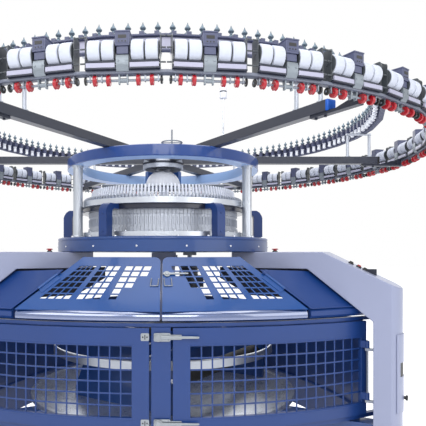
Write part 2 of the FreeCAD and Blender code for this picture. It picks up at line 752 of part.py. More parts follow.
def filler_right(legs):
    """Fixed panel between the right lid and the leg with its lip, and the lid's hinge pin."""
    v_top = LID.depth_of(LEG_ARM_UNDERSIDE)
    top = LID.at(LID.outer_edge(v_top) + LID_HINGE_GAP, v_top)
    low = LID.at(LID.outer_edge(LID.length) + LID_HINGE_GAP, LID.length)
    foot = ARC.on_face(FILLER_REACH, LIP_TOP)
    normal = (top - low).cross(foot - low).normalize()
    if normal.z < 0:
        normal = normal * -1.0
    knee = polar(LEG_KNEE_INNER + 30.0, LEG_AZIMUTHS[0]) + polar(45.0, LEG_AZIMUTHS[0] - 90.0)
    knee.z = low.z - ((knee - low).x * normal.x + (knee - low).y * normal.y) / normal.z
    panel = prism([top, low, foot, knee], normal * -SHEET).cut(BELOW_LIP)
    inward = UP.cross((foot - low).normalize())
    flange = prism([low, foot, foot + inward * 30.0, low + inward * 30.0], Vector(0, 0, SHEET))
    gap_angle = math.degrees(LID_HINGE_GAP / ARC.radius)
    roll = lip(ARC.angle(LID_BOTTOM_REACH) + gap_angle, ARC.angle(FILLER_REACH + 60.0))
    panel = cut_by(panel.fuse(flange).fuse(roll), legs)
    start, along = lid_hinge(LID_HINGE_PLACE - LID_LUG)
    pin = rod(LID_PIN_RADIUS, start, start + along * (LID_KNUCKLE + LID_LUG + 4.0))
    lug = flat_bar(LID_BARREL_RADIUS, 6, start, start + along * (LID_LUG - RUN_GAP))
    leaf = hinge_leaf(LID_HINGE_PLACE - LID_LUG, LID_LUG - RUN_GAP, 1.0)
    return [panel, pin.fuse(lug).fuse(leaf).cut(panel)]


def lid_latch_lever():
    """Turning lever on the right lid that holds the two lids together."""
    base = LID.at(LID.inner_edge(LID_LATCH_V) + LATCH_HUB, LID_LATCH_V, RUN_GAP)
    hub = flat_bar(LATCH_HUB * 0.8, 8, base, base + LID.normal * 12.0)
    u = LID.inner_edge(LID_LATCH_V) + LATCH_HUB
    outline = [
        (u - LATCH_HUB, LID_LATCH_V - 8.0),
        (u + 120.0, LID_LATCH_V - 5.0),
        (u + 120.0, LID_LATCH_V + 5.0),
        (u - LATCH_HUB, LID_LATCH_V + 8.0),
    ]
    handle = LID.plate(outline, 11.0, 7.0)
    return hub.fuse(handle)


# ---------------------------------------------------------------- head
def bed_plate():
    """Bed: ring-shaped casting with a skirt and a bore for the needle cylinder."""
    body = flat_ring(HEAD_BORE, BED_RADIUS, BED_UNDERSIDE, BED_TOP)
    return body.cut(drum(BED_RADIUS - BED_WALL, HEAD_SIDES, BED_UNDERSIDE, BED_TOP - BED_TOP_PLATE))


def gear_cover():
    """Cover under the bed that closes the gear case and carries the gear."""
    cover = flat_ring(
        CYLINDER_RADIUS - CYLINDER_WALL,
        BED_RADIUS - BED_WALL - HEAD_GAP,
        BED_UNDERSIDE,
        GEAR_BOTTOM - RUN_GAP,
        HIDDEN_SIDES,
    )
    return cover.cut(drum(45.0, 8, BED_UNDERSIDE - 1, GEAR_BOTTOM, DRIVE_AXIS))


def cam_box():
    """One cam box at the front, a segment of the ring round the cylinder."""
    half = math.tan(math.radians(180.0 / CAM_BOX_COUNT))
    points = [
        Vector(-HEAD_BORE * half + 1, -HEAD_BORE, CAM_BASE_TOP),
        Vector(HEAD_BORE * half - 1, -HEAD_BORE, CAM_BASE_TOP),
        Vector(CAM_RADIUS * half - 1, -CAM_RADIUS, CAM_BASE_TOP),
        Vector(-CAM_RADIUS * half + 1, -CAM_RADIUS, CAM_BASE_TOP),
    ]
    return prism(points, Vector(0, 0, CAM_HEIGHT))


def cap_bracket():
    """Bracket from the bed up and over to the sinker cap ring and under the feeder ring."""
    outer = CAP_BRACKET_RADIUS
    inner = outer - CAP_BRACKET_DEPTH
    return front_plate(
        [
            (inner, BED_TOP),
            (outer, BED_TOP),
            (outer, CAP_RING_TOP - 50.0),
            (outer - 40.0, CAP_RING_TOP),
            (CAP_RING_RADIUS, CAP_RING_TOP),
            (CAP_RING_RADIUS, CAM_TOP),
            (inner - 15.0, CAM_TOP),
            (inner, CAM_TOP - 20.0),
        ],
        CAP_BRACKET_WIDTH,
    )


def yarn_guide():
    """Yarn guide blade standing on the feeder ring."""
    return front_plate(
        [
            (CAP_RING_INNER + 6.0, FEEDER_RING_TOP),
            (CAP_RING_INNER + 40.0, FEEDER_RING_TOP),
            (CAP_RING_INNER + 8.0, FEEDER_RING_TOP + GUIDE_HEIGHT),
        ],
        13.0,
    )


# ---------------------------------------------------------------- drive
DRIVE_AXIS = polar(GEAR_RADIUS + PINION_RADIUS + RUN_GAP, 160.0)
MOTOR_AXIS = DRIVE_AXIS + Vector(0, MOTOR_DISTANCE, 0)


def drive_shaft():
    """Pinion, its vertical shaft and the driven pulley."""
    pinion = drum(PINION_RADIUS, 24, GEAR_BOTTOM, GEAR_BOTTOM + GEAR_THICKNESS, DRIVE_AXIS)
    shaft = drum(SHAFT_RADIUS, PIN_SIDES, PULLEY_Z, GEAR_BOTTOM, DRIVE_AXIS)
    pulley = drum(PULLEY_RADIUS, 24, PULLEY_Z, PULLEY_Z + PULLEY_WIDTH, DRIVE_AXIS)
    return pinion.fuse(shaft).fuse(pulley)


def shaft_bearing():
    """Square flanged bearing under the gear cover that carries the drive shaft."""
    low = BED_UNDERSIDE - 22.0
    bore = (SHAFT_RADIUS + SHAFT_GAP) / math.cos(math.pi / PIN_SIDES)
    flange = drum(75.0, 4, low, BED_UNDERSIDE, DRIVE_AXIS)
    return flange.cut(drum(bore, PIN_SIDES, low, BED_UNDERSIDE, DRIVE_AXIS))


def drive_motor():
    """Vertical motor hung beside the rear leg, with its terminal box."""
    body = drum(MOTOR_RADIUS, 24, MOTOR_TOP - MOTOR_HEIGHT, MOTOR_TOP, MOTOR_AXIS)
    corner = MOTOR_AXIS + Vector(MOTOR_RADIUS - 20.0, -45.0, MOTOR_TOP - 180.0)
    return body.fuse(Part.makeBox(60, 90, 100, corner))


def motor_pulley():
    """Motor shaft end and pulley."""
    shaft = drum(14.0, 8, MOTOR_TOP + RUN_GAP, PULLEY_Z, MOTOR_AXIS)
    return shaft.fuse(drum(MOTOR_PULLEY_RADIUS, 24, PULLEY_Z, PULLEY_Z + PULLEY_WIDTH, MOTOR_AXIS))


def motor_bracket():
    """Angle bracket from the rear leg's side to the motor's face."""
    side = LEG_THICKNESS / 2
    reach = MOTOR_AXIS.x + 90.0 - side
    plate = Part.makeBox(reach, 190.0, 14.0, Vector(side, MOTOR_AXIS.y - 95.0, MOTOR_TOP))
    web = Part.makeBox(14.0, 190.0, 80.0, Vector(side, MOTOR_AXIS.y - 95.0, MOTOR_TOP + 14.0))
    return plate.fuse(web).cut(drum(30.0, 8, MOTOR_TOP, MOTOR_TOP + 14.0, MOTOR_AXIS))


def belt_loop(extra, height):
    """Prism round both pulleys at a distance off their rims; the motor's pulley is at +Y."""
    lean = math.degrees(math.asin((PULLEY_RADIUS - MOTOR_PULLEY_RADIUS) / MOTOR_DISTANCE))
    low = Vector(0, 0, PULLEY_Z + (PULLEY_WIDTH - height) / 2)
    corners = []
    for centre, radius, first, last in (
        (DRIVE_AXIS, PULLEY_RADIUS, -90.0 - lean, 90.0 + lean),
        (MOTOR_AXIS, MOTOR_PULLEY_RADIUS, 90.0 + lean, 270.0 - lean),
    ):
        step = (last - first) / BELT_BENDS
        reach = (radius + extra) / math.cos(math.radians(step / 2))
        corners += [centre + low + polar(reach, first + step * (bend + 0.5)) for bend in range(BELT_BENDS)]
    return prism(corners, Vector(0, 0, height))


def drive_belt():
    """Flat belt round the two pulleys."""
    height = PULLEY_WIDTH - 8.0
    return belt_loop(RUN_GAP + BELT_THICKNESS, height).cut(belt_loop(RUN_GAP, height))


# ---------------------------------------------------------------- upper frame
def ring_arm():
    """Square tube from the hub over the top ring towards the feeder rings."""
    outside = block(-ARM_SIZE / 2, ARM_SIZE / 2, HUB_APOTHEM, ARM_END, TOP_RING_TOP, ARM_TOP)
    inner = ARM_SIZE / 2 - ARM_WALL
    low, high = TOP_RING_TOP + ARM_WALL, ARM_TOP - ARM_WALL
    return outside.cut(block(-inner, inner, HUB_APOTHEM, ARM_END, low, high))


def arm_cap():
    """Moulded cap on an arm's end."""
    return block(-ARM_SIZE / 2, ARM_SIZE / 2, ARM_END, ARM_END + ARM_CAP, TOP_RING_TOP, ARM_TOP)


def arm_hub():
    """Hexagonal hub block between two flanges that clamp the arms' inner ends."""
    across = HUB_APOTHEM / math.cos(math.radians(30.0))
    corners = [polar(across, 60.0 * side, TOP_RING_TOP) for side in range(6)]
    core = prism(corners, Vector(0, 0, ARM_SIZE))
    upper = drum(HUB_FLANGE_RADIUS, 18, ARM_TOP, ARM_TOP + HUB_FLANGE)
    lower = drum(HUB_FLANGE_RADIUS, 18, TOP_RING_TOP - HUB_FLANGE, TOP_RING_TOP)
    return core.fuse(upper).fuse(lower)


def stacked(levels, sides):
    """Closed solid through regular polygons of (radius, z) levels, from the bottom up."""
    rings = [
        [polar(radius, 360.0 * side / sides, z) for side in range(sides)] for radius, z in levels
    ]
    faces = [list(reversed(rings[0])), rings[-1]]
    for below, above in zip(rings, rings[1:]):
        for side in range(sides):
            after = (side + 1) % sides
            faces.append([below[side], below[after], above[after], above[side]])
    return polyhedron(faces)


def dust_fan():
    """Dome over two blow pipes that sweep round under the hub."""
    top = TOP_RING_TOP - HUB_FLANGE - FAN_MOTOR_HEIGHT - RUN_GAP
    shells = []
    for radius in (FAN_DOME_RADIUS, FAN_DOME_RADIUS - FAN_DOME_WALL):
        base = top - FAN_DOME_RADIUS
        levels = []
        for step in range(4):
            turn = math.radians(24.5 * step)
            levels.append((radius * math.cos(turn), base + radius * math.sin(turn)))
        shells.append(stacked(levels, 12))
    dome = shells[0].cut(shells[1])
    ceiling = top - FAN_DOME_WALL - 1.0
    pipe_z = top - FAN_DOME_RADIUS + 16.0
    shaft = drum(FAN_SHAFT_RADIUS, 8, pipe_z, ceiling)
    pipe = flat_bar(9.0, 8, Vector(-FAN_REACH, 0, pipe_z), Vector(FAN_REACH, 0, pipe_z))
    fan = shaft.fuse(pipe)
    for x in (-FAN_REACH, FAN_REACH - 60.0):
        fan = fan.fuse(Part.makeBox(60, 10, 44, Vector(x, -5, pipe_z - 46.0)))
    return dome.fuse(fan)


def yarn_hoop():
    """Flat hoop with a crossbar on a rod that stands on the top ring."""
    middle = polar(618.0, 5.4)
    z = TOP_RING_TOP + 10.0
    hoop = drum(63.0, 16, z, z + 8.0, middle).cut(drum(55.0, 16, z, z + 8.0, middle))
    bar = Part.makeBox(112.0, 8.0, 8.0, middle + Vector(-56.0, -4.0, z))
    stem = drum(5.0, 8, TOP_RING_TOP, TOP_RING_TOP + 90.0, middle)
    return hoop.fuse(bar).fuse(stem)


def signal_lamp():
    """Post with a foot, and the lamp on its top, on the right front arm."""
    place = polar(712.0, 30.0)
    post = drum(5.0, 8, ARM_TOP, ARM_TOP + 220.0, place)
    post = post.fuse(drum(16.0, 8, ARM_TOP, ARM_TOP + 10.0, place))
    return [post, drum(21.0, 12, ARM_TOP + 220.0, ARM_TOP + 290.0, place)]


# ---------------------------------------------------------------- the two feeder rings
def ring_strut():
    """Two posts on an arm and the crossbar that carries the inner ring."""
    half = STRUT_THICKNESS / 2
    low = INNER_RAIL_BOTTOM - STRUT_BAR
    bars = [block(-half, half, STRUT_RADII[0] - half, STRUT_RADII[1] + half, low, INNER_RAIL_BOTTOM)]
    for radius in STRUT_RADII:
        bars.append(block(-half, half, radius - half, radius + half, ARM_TOP, low))
    return bars


def ring_bracket():
    """Flat bar under an arm's end and the post on it that carries the outer ring's bay bases."""
    half = BRACKET_WIDTH / 2
    edge = OUTER_APOTHEM - WHEEL_RADIUS - 1.0
    low = TOP_RING_TOP - BRACKET_THICKNESS
    return [
        block(-half, half, ARM_END - 100.0, edge, low, TOP_RING_TOP),
        block(-half, half, edge - 2 * BRACKET_THICKNESS, edge, TOP_RING_TOP, OUTER_RAIL_TOP),
    ]


def package_pair(x_mid):
    """Pair of yarn packages on the base plate, as one six-sided roll along the bay."""
    start = Vector(x_mid - PACKAGE_WIDTH / 2, -OUTER_APOTHEM, PACKAGE_AXIS_Z)
    return flat_bar(PACKAGE_RADIUS, 6, start, start + Vector(PACKAGE_WIDTH, 0, 0))


def bay_module():
    """Base plate of a bay on the rail, under its two pairs of packages and its drive unit."""
    half = PAIR_OFFSET + TRAY_WIDTH / 2
    r0, r1 = OUTER_APOTHEM - TRAY_DEPTH / 2, OUTER_APOTHEM + TRAY_DEPTH / 2
    return block(-half, half, r0, r1, OUTER_RAIL_TOP, TRAY_TOP)


def drive_unit():
    """Drive unit that stands between the two pairs of a bay."""
    half = DRIVE_UNIT_WIDTH / 2
    return block(-half, half, OUTER_APOTHEM - 35.0, OUTER_APOTHEM + 35.0, TRAY_TOP, DRIVE_UNIT_TOP)


def yarn_wheel(x_mid):
    """Yarn wheels of a pair under the rail, as one square prism on its edge."""
    start = Vector(x_mid - WHEEL_SPAN / 2, -OUTER_APOTHEM, OUTER_RAIL_LOW - WHEEL_RADIUS)
    corners = [start + Vector(0, y, z) * WHEEL_RADIUS for y, z in ((-1, 0), (0, 1), (1, 0), (0, -1))]
    return prism(corners, Vector(WHEEL_SPAN, 0, 0))


def feeder(x):
    """Yarn feeder on the inner rail: a housing that narrows to its pointed intake."""
    points = [
        Vector(x - FEEDER_WIDTH / 2, -INNER_RAIL_INNER, INNER_RAIL_BOTTOM),
        Vector(x + FEEDER_WIDTH / 2, -INNER_RAIL_INNER, INNER_RAIL_BOTTOM),
        Vector(x, -INNER_RAIL_INNER, INNER_RAIL_TOP + FEEDER_SPIKE),
    ]
    return prism(points, Vector(0, FEEDER_DEPTH, 0))


def spots(pitch, count):
    """X of equally spaced places across a bay."""
    return [pitch * (place - (count - 1) / 2) for place in range(count)]


# ---------------------------------------------------------------- take-down and winding
def bottom_disc():
    """Round table that the take-down stands on, with its spindle."""
    disc = drum(DISC_RADIUS, HEAD_SIDES, DISC_BOTTOM, DISC_TOP)
    depth = BASE_BEAM_HEIGHT + DISC_BOTTOM - BASE_BEAM_TOP
    return disc.fuse(Part.makeCylinder(SPINDLE_RADIUS, depth, Vector(0, 0, DISC_BOTTOM - depth)))


def roller_axes():
    """Y and Z of the two take-down rollers."""
    half_nip = ROLLER_RADIUS + RUN_GAP / 2
    return [(-half_nip, ROLLER_AXIS_Z), (half_nip, ROLLER_AXIS_Z)]


def takedown_side():
    """Right side frame of the take-down: gusseted plate with bearing bores."""
    x0 = TAKEDOWN_HALF_WIDTH - TAKEDOWN_PLATE
    profile = [
        (-520.0, DISC_TOP),
        (300.0, DISC_TOP),
        (300.0, DISC_TOP + 60.0),
        (170.0, ROLLER_AXIS_Z - 60.0),
        (170.0, TAKEDOWN_TOP),
        (-170.0, TAKEDOWN_TOP),
        (-170.0, ROLLER_AXIS_Z - 60.0),
        (-400.0, WINDING_AXIS_Z + 70.0),
        (-520.0, WINDING_AXIS_Z + 70.0),
    ]
    plate = prism([Vector(x0, y, z) for y, z in profile], Vector(TAKEDOWN_PLATE, 0, 0))
    for y, z in roller_axes() + [(WINDING_AXIS_Y, WINDING_AXIS_Z)]:
        bore = (JOURNAL_RADIUS + SHAFT_GAP) / math.cos(math.pi / PIN_SIDES)
        plate = plate.cut(flat_bar(bore, PIN_SIDES, Vector(x0, y, z), Vector(x0 + TAKEDOWN_PLATE, y, z)))
    return plate


def takedown_ties():
    """Two square ties between the side frames, under the rollers."""
    inner = TAKEDOWN_HALF_WIDTH - TAKEDOWN_PLATE
    return [
        Part.makeBox(2 * inner, 40.0, 40.0, Vector(-inner, y, ROLLER_AXIS_Z - 180.0)) for y in (-150.0, 110.0)
    ]


def roller(y, z, radius):
    """Roller along X with journals in the side frames."""
    inner = TAKEDOWN_HALF_WIDTH - TAKEDOWN_PLATE - RUN_GAP
    body = flat_bar(radius, 16, Vector(-inner, y, z), Vector(inner, y, z))
    end = TAKEDOWN_HALF_WIDTH
    return body.fuse(flat_bar(JOURNAL_RADIUS, PIN_SIDES, Vector(-end, y, z), Vector(end, y, z)))


# ---------------------------------------------------------------- rear guards
def rear_guard():
    """Rear guard in the front position: curved sheet with folded edges and end posts."""
    edge = ARC.angle(REAR_REACH)
    section = [
        (0.0, GUARD_BOTTOM),
        (0.0, GUARD_TOP),
        (-GUARD_THICKNESS, GUARD_TOP),
        (-GUARD_THICKNESS, GUARD_TOP - SHEET),
        (-SHEET, GUARD_TOP - SHEET),
        (-SHEET, GUARD_BOTTOM + SHEET),
        (-GUARD_THICKNESS, GUARD_BOTTOM + SHEET),
        (-GUARD_THICKNESS, GUARD_BOTTOM),
    ]
    guard = ARC.bent(section, -edge, edge, RAIL_FLATS)
    near = LEG_INNER - REAR_POST_DEPTH
    post = block(-REAR_POST_FAR, -REAR_POST_NEAR, near, LEG_INNER, GUARD_BOTTOM, GUARD_TOP)
    post = turned_to(post, LEG_AZIMUTHS[0])
    return guard.fuse(post).fuse(mirrored(post))


# ---------------------------------------------------------------- controls
LEG_SLOPE = (BED_UNDERSIDE - LEG_SHOULDER_OUTER_Z) / (LEG_OUTER - LEG_KNEE_OUTER)
LEG_SLOPE_NORMAL = Vector(0, -LEG_SLOPE, 1.0).normalize()


def control_places():
    """Name, foot point, outward direction and leg azimuth of each push-button."""
    places = []
    for name, radius in zip(("start", "halt", "jog"), PANEL_BUTTON_RADII):
        z = BED_UNDERSIDE - LEG_SLOPE * (radius - LEG_KNEE_OUTER)
        places.append((name, Vector(0, -radius, z), LEG_SLOPE_NORMAL, LEG_AZIMUTHS[0]))
    for name, azimuth in (("stop_right", LEG_AZIMUTHS[0]), ("stop_left", LEG_AZIMUTHS[2])):
        places.append((name, Vector(0, -STOP_RADIUS, BED_UNDERSIDE), UP, azimuth))
    return places


def upright_shape(shape, foot_point, direction, azimuth):
    """Shape built upwards from the origin, stood on a leg's face and turned to the leg."""
    copy = shape.copy()
    tilt = math.degrees(math.acos(max(-1.0, min(1.0, direction.dot(UP)))))
    copy.rotate(ORIGIN, Vector(1, 0, 0), tilt)
    copy.translate(foot_point)
    return turned_to(copy, azimuth)


def bezel():
    """Octagonal collar with a bore for a button."""
    bore = BUTTON_RADIUS + BUTTON_CLEAR
    return drum(BEZEL_RADIUS, 8, 0.0, BEZEL_HEIGHT).cut(drum(bore, 8, 0.0, BEZEL_HEIGHT))


def push_button(mushroom):
    """Button stem, with a wide head on the stop buttons."""
    top = BEZEL_HEIGHT + 6.0
    stem = drum(BUTTON_RADIUS, 8, BUTTON_REST, top)
    if mushroom:
        stem = stem.fuse(drum(BEZEL_RADIUS + 4.0, 12, top, top + 8.0))
    return stem


def leg_panel():
    """Access door bent to the bowed outer face of the right front leg, with a knob."""
    half = LEG_THICKNESS / 2
    bow = (half**2 + LEG_BULGE**2) / (2 * LEG_BULGE)
    centre_r = LEG_OUTER + LEG_BULGE - bow
    turn = math.degrees(math.asin(PANEL_HALF / bow)) * 2 / PANEL_FLATS
    inner = (bow + PANEL_GAP) / math.cos(math.radians(turn / 2))
    outer = inner + SHEET
    angles = [turn * (k - PANEL_FLATS / 2) for k in range(PANEL_FLATS + 1)]
    centre = Vector(0, -centre_r, PANEL_BOTTOM)
    points = [centre + polar(inner, angle) for angle in angles]
    points += [centre + polar(outer, angle) for angle in reversed(angles)]
    panel = prism(points, Vector(0, 0, PANEL_TOP - PANEL_BOTTOM))
    face_y = centre.y - outer * math.cos(math.radians(turn / 2 if PANEL_FLATS % 2 else 0.0))
    knob = flat_bar(16.0, 12, Vector(0, face_y + 2.0, PANEL_KNOB_Z), Vector(0, face_y - 22.0, PANEL_KNOB_Z))
    return turned_to(panel.fuse(knob), LEG_AZIMUTHS[0])


def build():
    """Build every node and write it to parts/."""
    os.makedirs("parts", exist_ok=True)
    legs = around(leg(), LEG_AZIMUTHS)
    bays = evenly(BAYS, BAY_PHASE)
    save("leg_front_right", legs[0])
    save("leg_rear", legs[1])
    save("leg_front_left", legs[2])
    save("levelling_feet", around(foot(), LEG_AZIMUTHS))
    save("base_frame", base_frame())
    save("drive_mounts", spindle_bearing(), shaft_bearing(), motor_bracket())
    save("front_frame", front_rails(legs))
    save("bed_plate", bed_plate())
    save("gear_cover", gear_cover())
    top = GEAR_BOTTOM + CYLINDER_HEIGHT
    inside = CYLINDER_RADIUS - CYLINDER_WALL
    save("needle_cylinder", flat_ring(inside, CYLINDER_RADIUS, GEAR_BOTTOM, top, HIDDEN_SIDES))
    top = GEAR_BOTTOM + GEAR_THICKNESS
    save("main_gear", flat_ring(CYLINDER_RADIUS, GEAR_RADIUS, GEAR_BOTTOM, top, HIDDEN_SIDES))
    save("cam_base_ring", flat_ring(HEAD_BORE, CAM_BASE_RADIUS, BED_TOP, CAM_BASE_TOP))
    save("cam_boxes", around(cam_box(), evenly(CAM_BOX_COUNT)))
    save("sinker_cap_ring", flat_ring(CAP_RING_INNER, CAP_RING_RADIUS, CAM_TOP, CAP_RING_TOP))
    save("cap_brackets", around(cap_bracket(), ARM_AZIMUTHS))
    save("feeder_ring", flat_ring(CAP_RING_INNER, FEEDER_RING_RADIUS, CAP_RING_TOP, FEEDER_RING_TOP))
    save("yarn_guides", around(yarn_guide(), evenly(GUIDE_COUNT, 180.0 / GUIDE_COUNT)))
    save("drive_shaft", drive_shaft())
    save("drive_motor", drive_motor())
    save("motor_pulley", motor_pulley())
    save("drive_belt", drive_belt())
    uprights = drum(UPRIGHT_RADIUS, 12, BED_TOP, TOP_RING_UNDERSIDE, Vector(0, -UPRIGHT_CIRCLE, 0))
    save("uprights", around(uprights, LEG_AZIMUTHS))
    inside = TOP_RING_RADIUS - TOP_RING_WIDTH
    save("top_ring", flat_ring(inside, TOP_RING_RADIUS, TOP_RING_UNDERSIDE, TOP_RING_TOP))
    save("ring_arms", around(ring_arm(), ARM_AZIMUTHS))
    save("arm_caps", around(arm_cap(), ARM_AZIMUTHS))
    motor_z = TOP_RING_TOP - HUB_FLANGE - FAN_MOTOR_HEIGHT
    save("arm_hub", arm_hub())
    save("fan_motor", Part.makeBox(120, 90, FAN_MOTOR_HEIGHT, Vector(-60, -45, motor_z)))
    save("dust_fan", dust_fan())
    save("yarn_hoop", yarn_hoop())
    save("signal_lamp", signal_lamp())
    save("ring_supports", *[around(bar, ARM_AZIMUTHS) for bar in ring_strut() + ring_bracket()])
    half = OUTER_RAIL_WIDTH / 2
    save("outer_rail", bay_ring(OUTER_APOTHEM - half, OUTER_APOTHEM + half, OUTER_RAIL_LOW, OUTER_RAIL_TOP))
    save("bay_modules", around(bay_module(), bays))
    save("yarn_packages", *[around(package_pair(x), bays) for x in (-PAIR_OFFSET, PAIR_OFFSET)])
    save("drive_units", around(drive_unit(), bays))
    save("yarn_wheels", *[around(yarn_wheel(x), bays) for x in (-PAIR_OFFSET, PAIR_OFFSET)])
    save("inner_rail", bay_ring(INNER_RAIL_INNER, INNER_RAIL_OUTER, INNER_RAIL_BOTTOM, INNER_RAIL_TOP))
    save("yarn_feeders", *[around(feeder(x), bays) for x in spots(FEEDER_PITCH, FEEDERS_PER_BAY)])
    save("bottom_disc", bottom_disc())
    sides = [takedown_side(), mirrored(takedown_side())] + takedown_ties()
    save("takedown_frame", [turned_to(shape, TAKEDOWN_TURN) for shape in sides])
    for name, (y, z) in zip(("front", "rear"), roller_axes()):
        save("takedown_roller_" + name, turned_to(roller(y, z, ROLLER_RADIUS), TAKEDOWN_TURN))
    save("winding_roll", turned_to(roller(WINDING_AXIS_Y, WINDING_AXIS_Z, WINDING_RADIUS), TAKEDOWN_TURN))
    save("door_right", door_right())
    save("door_left", door_left())
    save("door_hinge_rods", door_hinge_rod(), mirrored(door_hinge_rod()))
    save("latch_lever_upper", latch_lever(LATCH_HEIGHTS[0]))
    save("latch_lever_lower", latch_lever(LATCH_HEIGHTS[1]))
    save("lid_right", lid_right())
    save("lid_left", [mirrored(solid) for solid in lid_right()])
    save("lid_latch_lever", lid_latch_lever())
    fillers = filler_right(legs)
    save("filler_panels", fillers, [mirrored(solid) for solid in fillers])
    save("rear_guards", around(rear_guard(), REAR_MIDDLES))
    save("leg_panel", leg_panel())
    bezels = []
    for name, foot_point, direction, azimuth in control_places():
        bezels.append(upright_shape(bezel(), foot_point, direction, azimuth))
        button = push_button(name.startswith("stop"))
        save("button_" + name, upright_shape(button, foot_point, direction, azimuth))
    save("button_bezels", bezels)


build()
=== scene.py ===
"""Looks of a circular knitting machine with two rings of yarn feeders, built round its CAD frame.

Sizes are in millimetres until a mesh is made. Azimuths are in degrees about the machine's axis:
0 is the operator's side (-Y) and 90 is the right (+X). Repeated pieces are drawn once at the
front and turned round the axis.
"""

import json
import logging
import math
from collections.abc import Callable, Iterable
from dataclasses import dataclass, field
from enum import Enum

import bmesh
import bpy
import numpy as np
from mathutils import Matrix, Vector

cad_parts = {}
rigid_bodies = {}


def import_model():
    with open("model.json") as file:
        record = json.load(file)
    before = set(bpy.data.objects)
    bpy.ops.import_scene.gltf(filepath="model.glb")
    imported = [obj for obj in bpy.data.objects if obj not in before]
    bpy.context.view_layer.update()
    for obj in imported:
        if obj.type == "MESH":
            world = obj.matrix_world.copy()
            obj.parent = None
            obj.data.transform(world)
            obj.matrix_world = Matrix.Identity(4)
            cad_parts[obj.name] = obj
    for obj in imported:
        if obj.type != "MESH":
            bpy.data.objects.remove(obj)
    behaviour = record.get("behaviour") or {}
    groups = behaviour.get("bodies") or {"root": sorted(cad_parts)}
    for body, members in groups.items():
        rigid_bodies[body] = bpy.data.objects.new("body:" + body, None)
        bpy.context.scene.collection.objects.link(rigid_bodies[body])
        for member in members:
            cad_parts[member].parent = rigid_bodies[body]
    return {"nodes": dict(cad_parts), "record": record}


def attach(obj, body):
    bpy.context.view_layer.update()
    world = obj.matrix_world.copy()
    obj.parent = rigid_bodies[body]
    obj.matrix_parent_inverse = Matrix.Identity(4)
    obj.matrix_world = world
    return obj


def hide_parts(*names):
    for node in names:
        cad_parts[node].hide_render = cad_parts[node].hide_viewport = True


for leftover in list(bpy.data.objects):
    bpy.data.objects.remove(leftover)

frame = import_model()

MM = 0.001
BODIES = frame["record"]["behaviour"]["bodies"]
BODY_OF = {node: body for body, nodes in BODIES.items() for node in nodes}
LOG = logging.getLogger("knitting_machine")

LEGS = (60.0, 180.0, -60.0)
FRONT_LEGS = (60.0, -60.0)
REAR_GUARDS = (120.0, -120.0)
SHARP_EDGE = 35.0
GEAR_LOW, GEAR_TOP = 1225.0, 1259.0
TOOTH_DEPTH = 7.0

Point = tuple[float, float, float]
Pair = tuple[float, float]
Socket = bpy.types.NodeSocket
Patterns = tuple[Socket, Socket]


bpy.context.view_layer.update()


# ---------------------------------------------------------------- finishes
class Texture(Enum):
    """Procedural surface patterns."""

    PAINT = "paint"
    BRUSHED = "brushed"
    YARN = "yarn"
    MOULDED = "moulded"
    RUBBER = "rubber"


def linear(colour: Point) -> tuple[float, float, float, float]:
    """Linear colour of an sRGB one."""
    values = [c / 12.92 if c <= 0.04045 else ((c + 0.055) / 1.055) ** 2.4 for c in colour]
    return (values[0], values[1], values[2], 1.0)


def shader_of(material: bpy.types.Material) -> bpy.types.Node:
    """The Principled shader of a material."""
    return next(node for node in material.node_tree.nodes if node.type == "BSDF_PRINCIPLED")


class Wiring:
    """Node tree while its nodes are placed and joined."""

    def __init__(self, tree: bpy.types.NodeTree) -> None:
        """Work on a node tree."""
        self.tree = tree

    def node(self, kind: str, **settings: object) -> bpy.types.Node:
        """Add a node.

        Args:
            kind: type name of the node.
            settings: attributes to set on it.

        Returns:
            The new node.
        """
        made = self.tree.nodes.new(kind)
        for name, value in settings.items():
            setattr(made, name, value)
        return made

    def join(self, source: Socket, target: Socket) -> None:
        """Link an output to an input."""
        self.tree.links.new(source, target)

    def maths(self, operation: str, *values: object) -> Socket:
        """Add a maths node.

        Args:
            operation: the maths node's operation.
            values: its inputs, sockets or numbers.

        Returns:
            Its output.
        """
        made = self.node("ShaderNodeMath", operation=operation)
        for place, value in enumerate(values):
            if isinstance(value, Socket):
                self.join(value, made.inputs[place])
            else:
                made.inputs[place].default_value = value
        return made.outputs[0]

    def times(self, *values: object) -> Socket:
        """Product of two sockets or numbers."""
        return self.maths("MULTIPLY", *values)

    def noise(self, vector: Socket, scale: Socket, detail: float) -> Socket:
        """Add a noise texture.

        Args:
            vector: where it is looked up.
            scale: its scale.
            detail: number of finer layers.

        Returns:
            Its value, from 0 to 1.
        """
        made = self.node("ShaderNodeTexNoise")
        made.inputs["Detail"].default_value = detail
        self.join(vector, made.inputs["Vector"])
        self.join(scale, made.inputs["Scale"])
        return made.outputs[0]

    def background_rays(self) -> Socket:
        """Mark the rays that see a plain background.

        Returns:
            1 for camera, transmission and glossy rays, 0 for others.
        """
        path = self.node("ShaderNodeLightPath").outputs
        clear = self.maths("MAXIMUM", path["Is Camera Ray"], path["Is Transmission Ray"])
        return self.maths("MAXIMUM", clear, path["Is Glossy Ray"])


